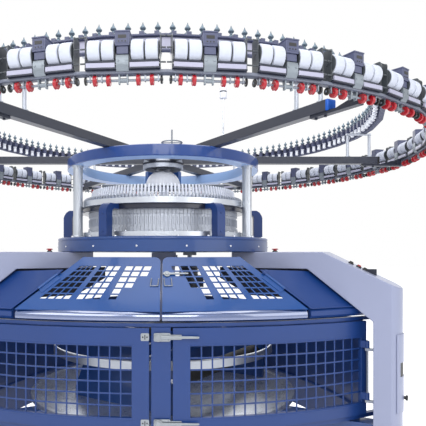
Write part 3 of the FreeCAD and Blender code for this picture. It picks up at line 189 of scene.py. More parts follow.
class TextureGroup:
    """Node group of a texture: colour, roughness and height from the place on the object."""

    INPUTS = {"Colour": "Color", "Roughness": "Float", "Scale": "Float", "Variation": "Float"}
    OUTPUTS = {"Colour": "Color", "Roughness": "Float", "Height": "Float"}
    ROUGHNESS_SHARE = 0.4

    def __init__(self, texture: Texture) -> None:
        """Build the group of a texture.

        Args:
            texture: the pattern that it holds.
        """
        self.tree = bpy.data.node_groups.new("texture_" + texture.value, "ShaderNodeTree")
        self.wiring = Wiring(self.tree)
        for way, sockets in (("INPUT", self.INPUTS), ("OUTPUT", self.OUTPUTS)):
            for name, kind in sockets.items():
                socket = "NodeSocket" + kind
                self.tree.interface.new_socket(name, in_out=way, socket_type=socket)
        self.inputs = self.wiring.node("NodeGroupInput").outputs
        self.place = self.wiring.node("ShaderNodeTexCoord").outputs["Object"]
        split = self.wiring.node("ShaderNodeSeparateXYZ")
        self.wiring.join(self.place, split.inputs[0])
        self.x, self.y, self.z = split.outputs
        patterns = {
            Texture.PAINT: self.paint,
            Texture.BRUSHED: self.brushed,
            Texture.YARN: self.yarn,
            Texture.MOULDED: self.moulded,
            Texture.RUBBER: self.rubber,
        }
        self.close(*patterns[texture]())

    def round_axis(self) -> Patterns:
        """Work out the place about the machine's axis.

        Returns:
            The radius and the azimuth in radians.
        """
        w = self.wiring
        squares = w.maths("ADD", w.times(self.x, self.x), w.times(self.y, self.y))
        return w.maths("SQRT", squares), w.maths("ARCTAN2", self.x, w.times(self.y, -1.0))

    def cloud(self, scale: float, detail: float) -> Socket:
        """Even noise at a multiple of the group's scale."""
        return self.wiring.noise(self.place, self.wiring.times(self.inputs["Scale"], scale), detail)

    def streaks(
        self, stretch: list[tuple[Socket, float]], detail: float, broad: float, share: float
    ) -> Patterns:
        """Stretch noise three ways, over a broad cloud.

        Args:
            stretch: three coordinates with the scale along each.
            detail: number of finer layers of the streaks.
            broad: scale of the cloud.
            share: the streaks' share in the first pattern.

        Returns:
            The streaks mixed with the cloud, and the streaks alone.
        """
        w = self.wiring
        scaled = [w.times(socket, scale) for socket, scale in stretch]
        vector = w.node("ShaderNodeCombineXYZ")
        for place, socket in enumerate(scaled):
            w.join(socket, vector.inputs[place])
        fine = w.noise(vector.outputs[0], w.times(self.inputs["Scale"], 1.0), detail)
        cloud = self.cloud(broad, 3.0)
        return w.maths("ADD", w.times(fine, share), w.times(cloud, 1.0 - share)), fine

    def paint(self) -> Patterns:
        """Sprayed enamel: broad cloudiness, and orange peel for the height."""
        return self.cloud(3.0, 4.0), self.cloud(420.0, 2.0)

    def brushed(self) -> Patterns:
        """Turned metal: fine streaks round the axis."""
        radius, azimuth = self.round_axis()
        return self.streaks([(radius, 900.0), (self.z, 900.0), (azimuth, 6.0)], 3.0, 9.0, 0.6)

    def yarn(self) -> Patterns:
        """Wound yarn: close turns along the bay, crossed by a slow slant."""
        radius, azimuth = self.round_axis()
        return self.streaks([(azimuth, 1300.0), (self.z, 60.0), (radius, 60.0)], 2.0, 40.0, 0.5)

    def moulded(self) -> Patterns:
        """Moulded plastic: faint cloudiness and a fine grain."""
        return self.cloud(14.0, 3.0), self.cloud(900.0, 2.0)

    def rubber(self) -> Patterns:
        """Rubber: dusty patches and a coarse grain."""
        return self.cloud(30.0, 5.0), self.cloud(260.0, 4.0)

    def close(self, broad: Socket, height: Socket) -> None:
        """Vary the colour and the roughness by the broad pattern and put out the height.

        Args:
            broad: pattern from 0 to 1 that varies colour and roughness.
            height: pattern that stands out of the surface.
        """
        w = self.wiring
        swing = w.times(w.maths("SUBTRACT", broad, 0.5), self.inputs["Variation"])
        tint = w.node("ShaderNodeVectorMath", operation="SCALE")
        w.join(self.inputs["Colour"], tint.inputs[0])
        w.join(w.maths("ADD", swing, 1.0), tint.inputs["Scale"])
        rough = w.node("ShaderNodeMath", operation="ADD", use_clamp=True)
        w.join(self.inputs["Roughness"], rough.inputs[0])
        w.join(w.times(swing, self.ROUGHNESS_SHARE), rough.inputs[1])
        out = w.node("NodeGroupOutput")
        w.join(tint.outputs[0], out.inputs["Colour"])
        w.join(rough.outputs[0], out.inputs["Roughness"])
        w.join(height, out.inputs["Height"])


GROUPS = {texture: TextureGroup(texture).tree for texture in Texture}


@dataclass(frozen=True)
class Finish:
    """Surface finish, with the record's slot that it belongs to."""

    name: str
    slot: str
    colour: Point
    roughness: float
    texture: Texture = Texture.PAINT
    metallic: float = 0.0
    coat: float = 0.0
    coat_ior: float = 1.5
    coat_roughness: float = 0.08
    scale: float = 1.0
    variation: float = 0.25
    bump: float = 0.05
    bump_depth: float = 0.001

    def material(self) -> bpy.types.Material:
        """Give the finish's material, made when it is first asked for.

        Returns:
            The material.
        """
        made = bpy.data.materials.get(self.name)
        if made:
            return made
        made = bpy.data.materials.new(self.name)
        made.use_nodes = True
        made.diffuse_color = linear(self.colour)
        shader = shader_of(made)
        wiring = Wiring(made.node_tree)
        group = wiring.node("ShaderNodeGroup", node_tree=GROUPS[self.texture])
        bump = wiring.node("ShaderNodeBump")
        for node, values in (
            (shader, {"Metallic": self.metallic, "Coat Weight": self.coat}),
            (shader, {"Coat Roughness": self.coat_roughness, "Coat IOR": self.coat_ior}),
            (group, {"Colour": linear(self.colour), "Roughness": self.roughness}),
            (group, {"Scale": self.scale, "Variation": self.variation}),
            (bump, {"Strength": self.bump, "Distance": self.bump_depth}),
        ):
            for name, value in values.items():
                node.inputs[name].default_value = value
        wiring.join(group.outputs["Colour"], shader.inputs["Base Color"])
        wiring.join(group.outputs["Roughness"], shader.inputs["Roughness"])
        wiring.join(group.outputs["Height"], bump.inputs["Height"])
        wiring.join(bump.outputs["Normal"], shader.inputs["Normal"])
        return made


class Look:
    """The machine's finishes."""

    DOOR = Finish("door_enamel", "door_blue", (0.03, 0.20, 0.445), 0.42, coat=0.1)
    LID = Finish("lid_enamel", "door_blue", (0.03, 0.26, 0.52), 0.36, coat=0.25, coat_ior=1.6)
    # Lighter base colour than the lid's enamel: a painted highlight for the shine along the rolled
    # lip.
    LIP_HIGHLIGHT = Finish(
        "lip_painted_highlight_enamel", "door_blue", (0.14, 0.27, 0.50), 0.26, metallic=0.35, coat=1.0, coat_ior=2.4
    )
    BED = Finish("bed_enamel", "bed_blue", (0.08, 0.24, 0.48), 0.38, coat=0.3)
    TOP = Finish("top_ring_enamel", "bed_blue", (0.11, 0.26, 0.53), 0.34, coat=0.4)
    # Dark copy of the door blue: painted shade for the ring's place under the overhanging feeder
    # band.
    CAP = Finish("cap_ring_painted_shade", "door_blue", (0.05, 0.09, 0.19), 0.30, coat=0.4)
    LEG = Finish("leg_enamel", "leg_paint", (0.575, 0.60, 0.705), 0.38, coat=0.3, variation=0.12)
    ARM = Finish("arm_enamel", "slate", (0.19, 0.205, 0.255), 0.42, coat=0.2)
    SLATE = Finish("housing_slate", "slate", (0.29, 0.31, 0.42), 0.45)
    DARK = Finish("rail_slate", "dark_slate", (0.13, 0.15, 0.21), 0.42)
    STEEL = Finish(
        "turned_steel", "bright_steel", (0.80, 0.82, 0.85), 0.30, Texture.BRUSHED, 0.85,
        variation=0.3, bump=0.15,
    )
    CHROME = Finish(
        "polished_steel", "bright_steel", (0.84, 0.85, 0.88), 0.16, Texture.BRUSHED, 1.0, bump=0.04
    )
    GREY_STEEL = Finish(
        "grey_steel", "dark_steel", (0.50, 0.52, 0.56), 0.38, Texture.BRUSHED, 0.8, bump=0.15
    )
    ALLOY = Finish("cast_alloy", "bright_steel", (0.72, 0.74, 0.78), 0.45, metallic=0.6, bump=0.2)
    CLAMP = Finish("clamp_alloy", "slate", (0.50, 0.53, 0.56), 0.42, metallic=0.5, bump=0.2)
    INTAKE = Finish("intake_alloy", "slate", (0.40, 0.46, 0.51), 0.42, metallic=0.5, bump=0.1)
    LATCH = Finish(
        "latch_steel", "bright_steel", (0.56, 0.58, 0.60), 0.34, Texture.BRUSHED, 0.9, bump=0.1
    )
    RAIL = Finish("rail_enamel", "dark_slate", (0.42, 0.44, 0.50), 0.40)
    TRAY = Finish("tray_enamel", "slate", (0.66, 0.66, 0.74), 0.40, variation=0.12)
    DISC = Finish("end_disc_enamel", "dark_slate", (0.27, 0.29, 0.31), 0.36, coat=0.2)
    WHITE = Finish(
        "white_mouldings", "white_plastic", (0.93, 0.94, 0.97), 0.32, Texture.MOULDED,
        variation=0.06,
    )
    YARN = Finish(
        "wound_yarn", "white_yarn", (0.80, 0.82, 0.87), 0.85, Texture.YARN, variation=0.12,
        bump=0.5,
    )
    RED = Finish(
        "red_mouldings", "red_plastic", (0.66, 0.07, 0.13), 0.36, Texture.MOULDED, coat=0.15
    )
    BLACK = Finish("black_mouldings", "black_plastic", (0.05, 0.05, 0.06), 0.40, Texture.MOULDED)
    BLUE = Finish("blue_mouldings", "blue_plastic", (0.05, 0.38, 0.80), 0.35, Texture.MOULDED)
    TABLE = Finish(
        "table_steel", "bright_steel", (0.80, 0.82, 0.86), 0.28, Texture.BRUSHED, 0.8,
        variation=0.35, bump=0.04,
    )
    SATIN = Finish(
        "satin_steel", "bright_steel", (0.74, 0.76, 0.79), 0.36, Texture.BRUSHED, 0.85, bump=0.08
    )
    CAP_BLUE = Finish("valve_enamel", "bed_blue", (0.22, 0.40, 0.68), 0.34, coat=0.3)
    # Dark copy of the door blue: painted shade, seen through the lids' outer holes.
    RIB_SHADE = Finish("rib_painted_shade", "door_blue", (0.045, 0.075, 0.15), 0.5)
    # Pale copy of the ring's blue: painted light on the top ring's inner wall and underside.
    PAINTED_LIGHT_LINER = Finish("ring_painted_light", "bed_blue", (0.60, 0.72, 0.90), 0.40, variation=0.12)
    RUBBER = Finish("rubber_cover", "rubber", (0.06, 0.06, 0.065), 0.70, Texture.RUBBER, bump=0.4)
    FLOOR = Finish(
        "floor_paint", "", (0.95, 0.95, 0.96), 0.6, Texture.MOULDED, variation=0.01, bump=0.0
    )


# ---------------------------------------------------------------- drawing in millimetres
def polar(radius: float, azimuth: float, z: float = 0.0) -> Point:
    """Point at a radius, an azimuth in degrees and a height."""
    turn = math.radians(azimuth)
    return (radius * math.sin(turn), -radius * math.cos(turn), z)


def evenly(count: int, first: float = 0.0) -> list[float]:
    """Azimuths of equally spaced places round the axis."""
    return [first + 360.0 * place / count for place in range(count)]


ARMS = evenly(6, 30.0)


def circle(radius: float, sides: int) -> list[Pair]:
    """Corners of a regular polygon in a plane."""
    turns = [2 * math.pi * side / sides for side in range(sides)]
    return [(radius * math.cos(turn), radius * math.sin(turn)) for turn in turns]


def eased(x0: float, x1: float, y0: float, y1: float, ease: float, steps: int = 3) -> list[Pair]:
    """Rectangle with rounded corners.

    Args:
        x0, x1, y0, y1: its sides.
        ease: radius of its corners.
        steps: straight pieces in a corner.

    Returns:
        Its corners in order.
    """
    points = []
    left, right, low, top = x0 + ease, x1 - ease, y0 + ease, y1 - ease
    for quarter, (cx, cy) in enumerate(((right, top), (left, top), (left, low), (right, low))):
        for step in range(steps + 1):
            turn = math.radians(90.0 * quarter + 90.0 * step / steps)
            points.append((cx + ease * math.cos(turn), cy + ease * math.sin(turn)))
    return points


def rotation(angle: float, first: int, second: int) -> np.ndarray:
    """Matrix that turns rows of points in the plane of two axes.

    Args:
        angle: the turn in degrees.
        first, second: numbers of the axes; the turn goes from the first to the second.

    Returns:
        The matrix.
    """
    matrix = np.eye(3)
    matrix[first, first] = matrix[second, second] = math.cos(math.radians(angle))
    matrix[first, second] = math.sin(math.radians(angle))
    matrix[second, first] = -matrix[first, second]
    return matrix


def stepped(stops: list[float], longest: float) -> list[float]:
    """Put more stops between those given.

    Args:
        stops: the stops in order.
        longest: widest gap that may stay.

    Returns:
        All stops in order.
    """
    values = [stops[0]]
    for low, high in zip(stops, stops[1:]):
        count = max(1, math.ceil((high - low) / longest))
        values += [low + (high - low) * step / count for step in range(1, count + 1)]
    return values


class Draft:
    """Points in millimetres and the faces between them."""

    def __init__(self) -> None:
        """Start with nothing drawn."""
        self.points = np.zeros((0, 3))
        self.faces: list[tuple[int, ...]] = []

    def add(self, points: Iterable[Point], faces: Iterable[tuple[int, ...]]) -> "Draft":
        """Add points and the faces on them.

        Args:
            points: the new points.
            faces: the new faces, as places among those points.

        Returns:
            This draft.
        """
        base = len(self.points)
        self.points = np.vstack([self.points, np.asarray(list(points), float)])
        self.faces.extend(tuple(base + index for index in face) for face in faces)
        return self

    def join(self, *others: "Draft") -> "Draft":
        """Add other drafts.

        Args:
            others: drafts that are copied in.

        Returns:
            This draft.
        """
        for other in others:
            self.add(other.points, other.faces)
        return self

    def loft(self, loops: list[list[Point]], closed: bool = False) -> "Draft":
        """Skin through loops of as many points each.

        Args:
            loops: the loops in order.
            closed: whether the last loop joins the first; open ends are capped.

        Returns:
            This draft.
        """
        width = len(loops[0])
        count = len(loops)
        faces = []
        for start in range(count if closed else count - 1):
            near, far = start * width, (start + 1) % count * width
            for corner in range(width):
                after = (corner + 1) % width
                faces.append((near + corner, near + after, far + after, far + corner))
        if not closed:
            faces.append(tuple(range(width - 1, -1, -1)))
            faces.append(tuple((count - 1) * width + corner for corner in range(width)))
        return self.add([point for loop in loops for point in loop], faces)

    def column(self, outline: list[tuple[float, ...]], z0: float, z1: float) -> "Draft":
        """Outline of (x, y) carried up between two heights."""
        return self.loft([[(point[0], point[1], z) for point in outline] for z in (z0, z1)])

    def slab(self, outline: list[Pair], y0: float, y1: float) -> "Draft":
        """Outline of (x, z) carried between two Y."""
        return self.loft([[(x, y, z) for x, z in outline] for y in (y0, y1)])

    def plate(self, profile: list[Pair], x0: float, x1: float) -> "Draft":
        """Profile of (radius, z) in the front radial plane, carried between two X."""
        return self.loft([[(x, -radius, z) for radius, z in profile] for x in (x0, x1)])

    def box(self, x0: float, x1: float, y0: float, y1: float, z0: float, z1: float) -> "Draft":
        """Box between two X, two Y and two heights."""
        return self.column([(x0, y0), (x1, y0), (x1, y1), (x0, y1)], z0, z1)

    def bay(self, section: list[Pair], bays: int) -> "Draft":
        """Section of (radius, z) carried along one side of a ring of straight bays."""
        spread = math.tan(math.pi / bays)
        return self.loft([[(s * r * spread, -r, z) for r, z in section] for s in (-1, 1)])

    def lathe(
        self, profile: list[Pair], sides: int, centre: Point = (0.0, 0.0, 0.0)
    ) -> "Draft":
        """Closed profile of (radius, z) turned about an upright axis.

        Args:
            profile: the profile's corners.
            sides: straight pieces in the full turn.
            centre: point that the axis goes through; heights are above it.

        Returns:
            This draft.
        """
        x, y, z = centre
        loops = []
        for azimuth in evenly(sides):
            ring = [polar(radius, azimuth, height) for radius, height in profile]
            loops.append([(x + px, y + py, z + pz) for px, py, pz in ring])
        return self.loft(loops, closed=True)

    def gear(self, teeth: int, radius: float, bore: float) -> "Draft":
        """Spur gear about the origin's axis, at the height of the main gear.

        Args:
            teeth: number of teeth.
            radius: radius over the teeth.
            bore: radius of its bore.

        Returns:
            This draft.
        """
        loops = []
        for step in range(teeth * 4):
            reach = radius if step % 4 in (0, 1) else radius - TOOTH_DEPTH
            azimuth = 360.0 * step / (teeth * 4)
            corners = ((bore, GEAR_LOW), (reach, GEAR_LOW), (reach, GEAR_TOP), (bore, GEAR_TOP))
            loops.append([polar(distance, azimuth, z) for distance, z in corners])
        return self.loft(loops, closed=True)

    def rod(
        self, radius: float, start: Point, end: Point, sides: int = 12, ease: float = 0.0
    ) -> "Draft":
        """Round bar between two points.

        Args:
            radius: its radius.
            start, end: middles of its ends.
            sides: straight pieces round it.
            ease: bevel on its ends' rims.

        Returns:
            This draft.
        """
        first, last = np.asarray(start, float), np.asarray(end, float)
        along = (last - first) / np.linalg.norm(last - first)
        side = np.cross(along, (0.0, 0.0, 1.0) if abs(along[2]) < 0.9 else (1.0, 0.0, 0.0))
        side /= np.linalg.norm(side)
        other = np.cross(along, side)
        stations = [(first, radius), (last, radius)]
        if ease:
            stations = [(first, radius - ease), (first + along * ease, radius)]
            stations += [(last - along * ease, radius), (last, radius - ease)]
        loops = []
        for place, reach in stations:
            loops.append([tuple(place + side * a + other * b) for a, b in circle(reach, sides)])
        return self.loft(loops)

    def bar(self, r: float, y: float, z: float, x0: float, x1: float, *form: float) -> "Draft":
        """Round bar along X, with its sides and bevel as for a rod."""
        return self.rod(r, (x0, y, z), (x1, y, z), *form)

    def pin(self, r: float, x: float, z: float, y0: float, y1: float, *form: float) -> "Draft":
        """Round bar along Y, with its sides and bevel as for a rod."""
        return self.rod(r, (x, y0, z), (x, y1, z), *form)

    def post(self, r: float, x: float, y: float, z0: float, z1: float, *form: float) -> "Draft":
        """Upright round bar, with its sides and bevel as for a rod."""
        return self.rod(r, (x, y, z0), (x, y, z1), *form)

    def holed(
        self, columns: int, rows: int, kept: Callable[[int, int], bool],
        place: Callable[[int, int, int], Point],
    ) -> "Draft":
        """Sheet of the kept cells of a grid.

        Args:
            columns, rows: number of cells each way.
            kept: tells whether the cell at a column and a row is solid.
            place: point of a grid line crossing on the front (0) or the back (1).

        Returns:
            This draft.
        """
        grid = [(i, j) for j in range(rows + 1) for i in range(columns + 1)]
        points = [place(i, j, side) for side in (0, 1) for i, j in grid]
        back = len(grid)
        solid = {(i, j) for i in range(columns) for j in range(rows) if kept(i, j)}
        faces = []
        for i, j in sorted(solid):
            a = j * (columns + 1) + i
            b, c, d = a + 1, a + columns + 2, a + columns + 1
            faces += [(a, b, c, d), (back + d, back + c, back + b, back + a)]
            sides = (((i, j - 1), a, b), ((i + 1, j), b, c), ((i, j + 1), c, d), ((i - 1, j), d, a))
            for cell, near, far in sides:
                if cell not in solid:
                    faces.append((far, near, back + near, back + far))
        return self.add(points, faces)

    def moved(self, x: float, y: float, z: float) -> "Draft":
        """Copy moved by a vector."""
        return Draft().add(self.points + np.array([x, y, z]), self.faces)

    def turned(self, azimuth: float) -> "Draft":
        """Copy turned about the machine's axis."""
        return Draft().add(self.points @ rotation(azimuth, 0, 1), self.faces)

    def tilted(self, angle: float) -> "Draft":
        """Copy turned about the X axis, so that +Z leans to -Y by the angle in degrees."""
        return Draft().add(self.points @ rotation(angle, 1, 2), self.faces)

    def laid(self) -> "Draft":
        """Copy whose +Z points along +X."""
        return Draft().add(self.points[:, [2, 1, 0]], [face[::-1] for face in self.faces])

    def mirrored(self) -> "Draft":
        """Mirror image across the machine's middle plane."""
        return Draft().add(self.points * (-1.0, 1.0, 1.0), [face[::-1] for face in self.faces])

    def around(self, azimuths: Iterable[float]) -> "Draft":
        """Copies at each azimuth."""
        return Draft().join(*[self.turned(azimuth) for azimuth in azimuths])


class Maker:
    """Turns drafts and CAD nodes into the scene's pieces."""

    CAD_WELD = 2e-6
    WELD = 1e-6
    FLAT_ANGLE = 0.5
    BEVEL_SEGMENTS = 2

    def __init__(self) -> None:
        """Start with no pieces."""
        self.made: list[str] = []

    def piece(
        self, name: str, draft: Draft, finish: Finish, *nodes: str, body: str = "frame",
        bevel: float = 0.0, sharp: float = SHARP_EDGE,
    ) -> None:
        """Make one piece from a draft.

        Args:
            name: the piece's name.
            draft: its shape.
            finish: its surface.
            nodes: CAD nodes that it stands for.
            body: body that it rides on, where it stands for no node.
            bevel: width of its bevelled edges in millimetres.
            sharp: angle in degrees from which an edge stays sharp.
        """
        mesh = bpy.data.meshes.new(name)
        mesh.from_pydata((draft.points * MM).tolist(), [], draft.faces)
        self.dress(name, mesh, finish, nodes, body, bevel, sharp)

    def refined(
        self, name: str, finish: Finish, node: str, bevel: float, sharp: float = SHARP_EDGE
    ) -> None:
        """Make one piece that is a CAD node with its edges bevelled.

        Args:
            name: the piece's name.
            finish: its surface.
            node: the CAD node that is copied and replaced.
            bevel: width of its bevelled edges in millimetres.
            sharp: angle in degrees from which an edge stays sharp.
        """
        mesh = bpy.data.meshes.new(name)
        work = bmesh.new()
        work.from_mesh(frame["nodes"][node].data)
        bmesh.ops.remove_doubles(work, verts=work.verts, dist=self.CAD_WELD)
        flat = math.radians(self.FLAT_ANGLE)
        bmesh.ops.dissolve_limit(work, angle_limit=flat, verts=work.verts, edges=work.edges)
        work.to_mesh(mesh)
        work.free()
        for extra in [layer for layer in mesh.attributes if layer.name == "custom_normal"]:
            mesh.attributes.remove(extra)
        mesh.materials.clear()
        self.dress(name, mesh, finish, (node,), "", bevel, sharp)

    def dress(
        self, name: str, mesh: bpy.types.Mesh, finish: Finish, nodes: tuple[str, ...], body: str,
        bevel: float, sharp: float,
    ) -> None:
        """Tidy a mesh and make it a piece on its body.

        Args:
            name: the piece's name.
            mesh: its mesh, in metres.
            finish: its surface.
            nodes: CAD nodes that it stands for.
            body: body that it rides on, where it stands for no node.
            bevel: width of its bevelled edges in millimetres.
            sharp: angle in degrees from which an edge stays sharp.
        """
        work = bmesh.new()
        work.from_mesh(mesh)
        bmesh.ops.remove_doubles(work, verts=work.verts, dist=self.WELD)
        bmesh.ops.recalc_face_normals(work, faces=work.faces)
        work.to_mesh(mesh)
        work.free()
        mesh.shade_smooth()
        mesh.set_sharp_from_angle(angle=math.radians(sharp))
        made = bpy.data.objects.new(name, mesh)
        bpy.context.scene.collection.objects.link(made)
        mesh.materials.append(finish.material())
        if bevel:
            edges = made.modifiers.new("edges", "BEVEL")
            edges.width = bevel * MM
            edges.segments = self.BEVEL_SEGMENTS
            edges.limit_method = "ANGLE"
            edges.angle_limit = math.radians(sharp)
            edges.harden_normals = True
        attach(made, BODY_OF[nodes[0]] if nodes else body)
        if nodes:
            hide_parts(*nodes)
        self.made.append(name)
        LOG.info("%s: %d faces", name, len(mesh.polygons))


MAKER = Maker()


# ---------------------------------------------------------------- curved guard walls
@dataclass
class CurvedWall:
    """Plan arc of a guard between two legs, with its outer face as zero."""

    middle: float = 966.0
    end: float = 1349.0
    half_angle: float = 60.0
    radius: float = field(init=False)
    centre: float = field(init=False)

    def __post_init__(self) -> None:
        """Work out the arc's radius and the Y of its centre."""
        half_chord = self.end * math.sin(math.radians(self.half_angle))
        rise = self.middle - self.end * math.cos(math.radians(self.half_angle))
        self.radius = (half_chord**2 + rise**2) / (2 * rise)
        self.centre = self.radius - self.middle

    def at(self, x: float, z: float, out: float = 0.0) -> Point:
        """Find a point of the face.

        Args:
            x, z: its X and its height.
            out: how far it is lifted off the face.

        Returns:
            The point.
        """
        turn = math.asin(x / self.radius)
        reach = self.radius + out
        return (reach * math.sin(turn), self.centre - reach * math.cos(turn), z)

    def sweep(self, section: list[Pair], x0: float, x1: float, steps: int) -> Draft:
        """Section of (distance outside the face, z) carried along the wall.

        Args:
            section: the section's corners.
            x0, x1: X of the face at both ends.
            steps: straight pieces.

        Returns:
            The swept draft.
        """
        loops = []
        for step in range(steps + 1):
            x = x0 + (x1 - x0) * step / steps
            loops.append([self.at(x, z, out) for out, z in section])
        return Draft().loft(loops)

    def sheet(
        self, xs: list[float], zs: list[float], kept: Callable[[int, int], bool], out: Pair
    ) -> Draft:
        """Sheet along the wall with openings.

        Args:
            xs, zs: the grid lines.
            kept: tells whether a cell is solid.
            out: distances outside the face of its front and its back.

        Returns:
            The sheet's draft.
        """

        def place(i: int, j: int, side: int) -> Point:
            """Point of a grid line crossing on one face of the sheet."""
            return self.at(xs[i], zs[j], out[side])

        return Draft().holed(len(xs) - 1, len(zs) - 1, kept, place)


WALL = CurvedWall()


@dataclass
class Doors:
    """The two mesh doors, their hinges, latches and keepers."""

    bottom: float = 290.0
    top: float = 818.0
    window_bottom: float = 358.0
    window_top: float = 724.0
    inner: float = 61.0
    window_inner: float = 151.0
    window_outer: float = 1128.0
    outer: float = 1165.0
    thickness: float = 25.0
    mesh_faces: Pair = (-8.0, -12.0)
    columns: int = 17
    rows: int = 6
    lattice_bar: float = 8.0
    hinge_x: float = 1140.0
    hinge_out: float = 30.0
    hinge_heights: Pair = (400.0, 690.0)
    knuckle_half: float = 20.0
    lug_half: float = 11.0
    lug_drop: float = 34.4
    leg_face: float = 1394.0
    latch_heights: Pair = (773.0, 333.0)
    latch_x: float = -13.0
    latch_reach: float = 208.0
    plate_front: float = 3.0

    def leaf(self) -> Draft:
        """Curved frame of the right door.

        Returns:
            The frame, with its window open.
        """
        xs = stepped([self.inner, self.window_inner, self.window_outer, self.outer], 36.0)
        zs = [self.bottom, self.window_bottom, self.window_top, self.top]

        def solid(i: int, j: int) -> bool:
            """Whether the cell lies outside the window."""
            return j != 1 or not self.window_inner - 1 < xs[i] < self.window_outer - 1

        return WALL.sheet(xs, zs, solid, (0.0, -self.thickness))

    def bars(self, low: float, high: float, count: int) -> list[float]:
        """Edges of the lattice's bars between two sides of the window.

        Args:
            low, high: the window's sides.
            count: number of openings.

        Returns:
            The bars' edges, with the lattice's own at both ends.
        """
        middles = [low + (high - low) * step / count for step in range(1, count)]
        edges = [middle + side * self.lattice_bar / 2 for middle in middles for side in (-1, 1)]
        return [low - 2, *edges, high + 2]

    def mesh(self) -> Draft:
        """Flat lattice in the right door's window.

        Returns:
            The lattice.
        """
        xs = self.bars(self.window_inner, self.window_outer, self.columns)
        zs = self.bars(self.window_bottom, self.window_top, self.rows)
        return WALL.sheet(xs, zs, lambda i, j: i % 2 == 1 or j % 2 == 1, self.mesh_faces)

    def beading(self) -> Draft:
        """Raised beads under and over the right door's window.

        Returns:
            Both beads.
        """
        draft = Draft()
        for z0 in (self.window_bottom - 12, self.window_top + 4):
            z1 = z0 + 8
            section = [(-1.0, z0), (1.6, z0 + 2.0), (1.6, z1 - 2.0), (-1.0, z1)]
            draft.join(WALL.sweep(section, self.window_inner - 12, self.window_outer + 12, 30))
        return draft

    def knuckles(self) -> Draft:
        """Hinge straps and knuckles of the right door.

        Returns:
            The door's half of both hinges.
        """
        draft = Draft()
        half = self.knuckle_half
        axis = np.array(WALL.at(self.hinge_x, 0.0, self.hinge_out))
        near = np.array(WALL.at(self.hinge_x - 18.0, 0.0, -2.0))
        far = np.array(WALL.at(self.hinge_x + 10.0, 0.0, -2.0))
        inward = (near - far) / 28.0
        ring = [(6.3, -half), (11, -half), (12, 1 - half), (12, half - 1), (11, half), (6.3, half)]
        for height in self.hinge_heights:
            draft.lathe(ring, 24, (axis[0], axis[1], height))
            corners = [near, far, axis - inward * 6, axis + inward * 9]
            draft.column(corners, height - half + 0.5, height + half - 0.5)
        return draft

    def rods(self) -> Draft:
        """Hinge rod of the right door, with its lugs on the leg.

        Returns:
            The rod and both lugs.
        """
        axis = np.array(WALL.at(self.hinge_x, 0.0, self.hinge_out))
        out, side = np.array(polar(1.0, 60.0)), np.array(polar(1.0, -30.0))
        near, far = -self.lug_half, self.leg_face - float(np.dot(out, axis))
        low, high = self.hinge_heights[0] - self.lug_drop, self.hinge_heights[1] + 24.0
        draft = Draft().post(6.0, axis[0], axis[1], low, high, 20, 1.0)
        ways = ((near, near), (far, near), (far, -near), (near, -near))
        corners = [axis + out * along + side * across for along, across in ways]
        for height in self.hinge_heights:
            draft.column(corners, height - self.lug_drop, height - self.lug_drop + 14.0)
        return draft

    def latch_plates(self) -> Draft:
        """Plates on the right door that carry the latches, with their spacers.

        Returns:
            Both plates.
        """
        front = WALL.at(0.0, 0.0)[1] - self.plate_front
        back = WALL.at(86.0, 0.0)[1] + 2.0
        draft = Draft()
        x = self.latch_x
        for z in self.latch_heights:
            draft.slab(eased(x - 24, x + 62, z - 22, z + 22, 8.0), front - 4.0, front)
            draft.slab(eased(x + 58, x + 119, z - 13, z + 13, 4.0), front - 3.6, front - 0.2)
            draft.box(66.0, 105.0, front - 0.5, back, z - 12.0, z + 12.0)
        return draft

    def screws(self) -> Draft:
        """Small screws in the latch plates.

        Returns:
            All of them.
        """
        front = WALL.at(0.0, 0.0)[1] - self.plate_front - 4.0
        draft = Draft()
        for height in self.latch_heights:
            for x, z in ((-28.0, 13.0), (-28.0, -13.0), (38.0, 14.0), (38.0, -14.0)):
                draft.pin(3.6, x, height + z, front + 0.5, front - 2.0, 10, 0.8)
        return draft

    def keeper_dark_marks(self) -> Draft:
        """Black round heads and a black bar on the left door's keepers.

        Returns:
            All of them.
        """
        front = WALL.at(self.inner, 0.0)[1] - self.plate_front
        draft = Draft()
        for z in self.latch_heights:
            for x in (-93.0, -71.0):
                draft.pin(4.2, x, z, front + 1.0, front - 1.6, 12, 0.8)
            draft.box(-84.5, -79.5, front - 0.6, front + 1.0, z - 12.0, z + 12.0)
        return draft

    def lever(self, height: float) -> Draft:
        """Latch lever: stepped hub and tapered handle.

        Args:
            height: height of its middle.

        Returns:
            The lever.
        """
        front = WALL.at(0.0, 0.0)[1] - self.plate_front - 4.4
        x = self.latch_x
        end = x + self.latch_reach
        draft = Draft().pin(22.0, x, height, front, front - 9.0, 32, 1.5)
        draft.pin(15.0, x, height, front - 8.5, front - 14.0, 24, 2.0)
        loops = []
        for station, half, near, far in (
            (x + 6, 9.0, 3.0, 10.5),
            (x + 60, 7.0, 3.5, 10.0),
            (end - 40, 6.0, 3.2, 10.8),
            (end - 6, 6.0, 3.2, 10.8),
            (end, 4.0, 5.0, 9.0),
        ):
            section = eased(height - half, height + half, front - far, front - near, 2.0, 2)
            loops.append([(station, y, z) for z, y in section])
        return draft.loft(loops)

    def keepers(self) -> Draft:
        """Keeper plates on the left door.

        Returns:
            Both plates.
        """
        front = WALL.at(self.inner, 0.0)[1]
        draft = Draft()
        for z in self.latch_heights:
            outline = eased(-103.5, -60.5, z - 19.5, z + 19.5, 6.0)
            draft.slab(outline, front - self.plate_front, front + 1.0)
        return draft

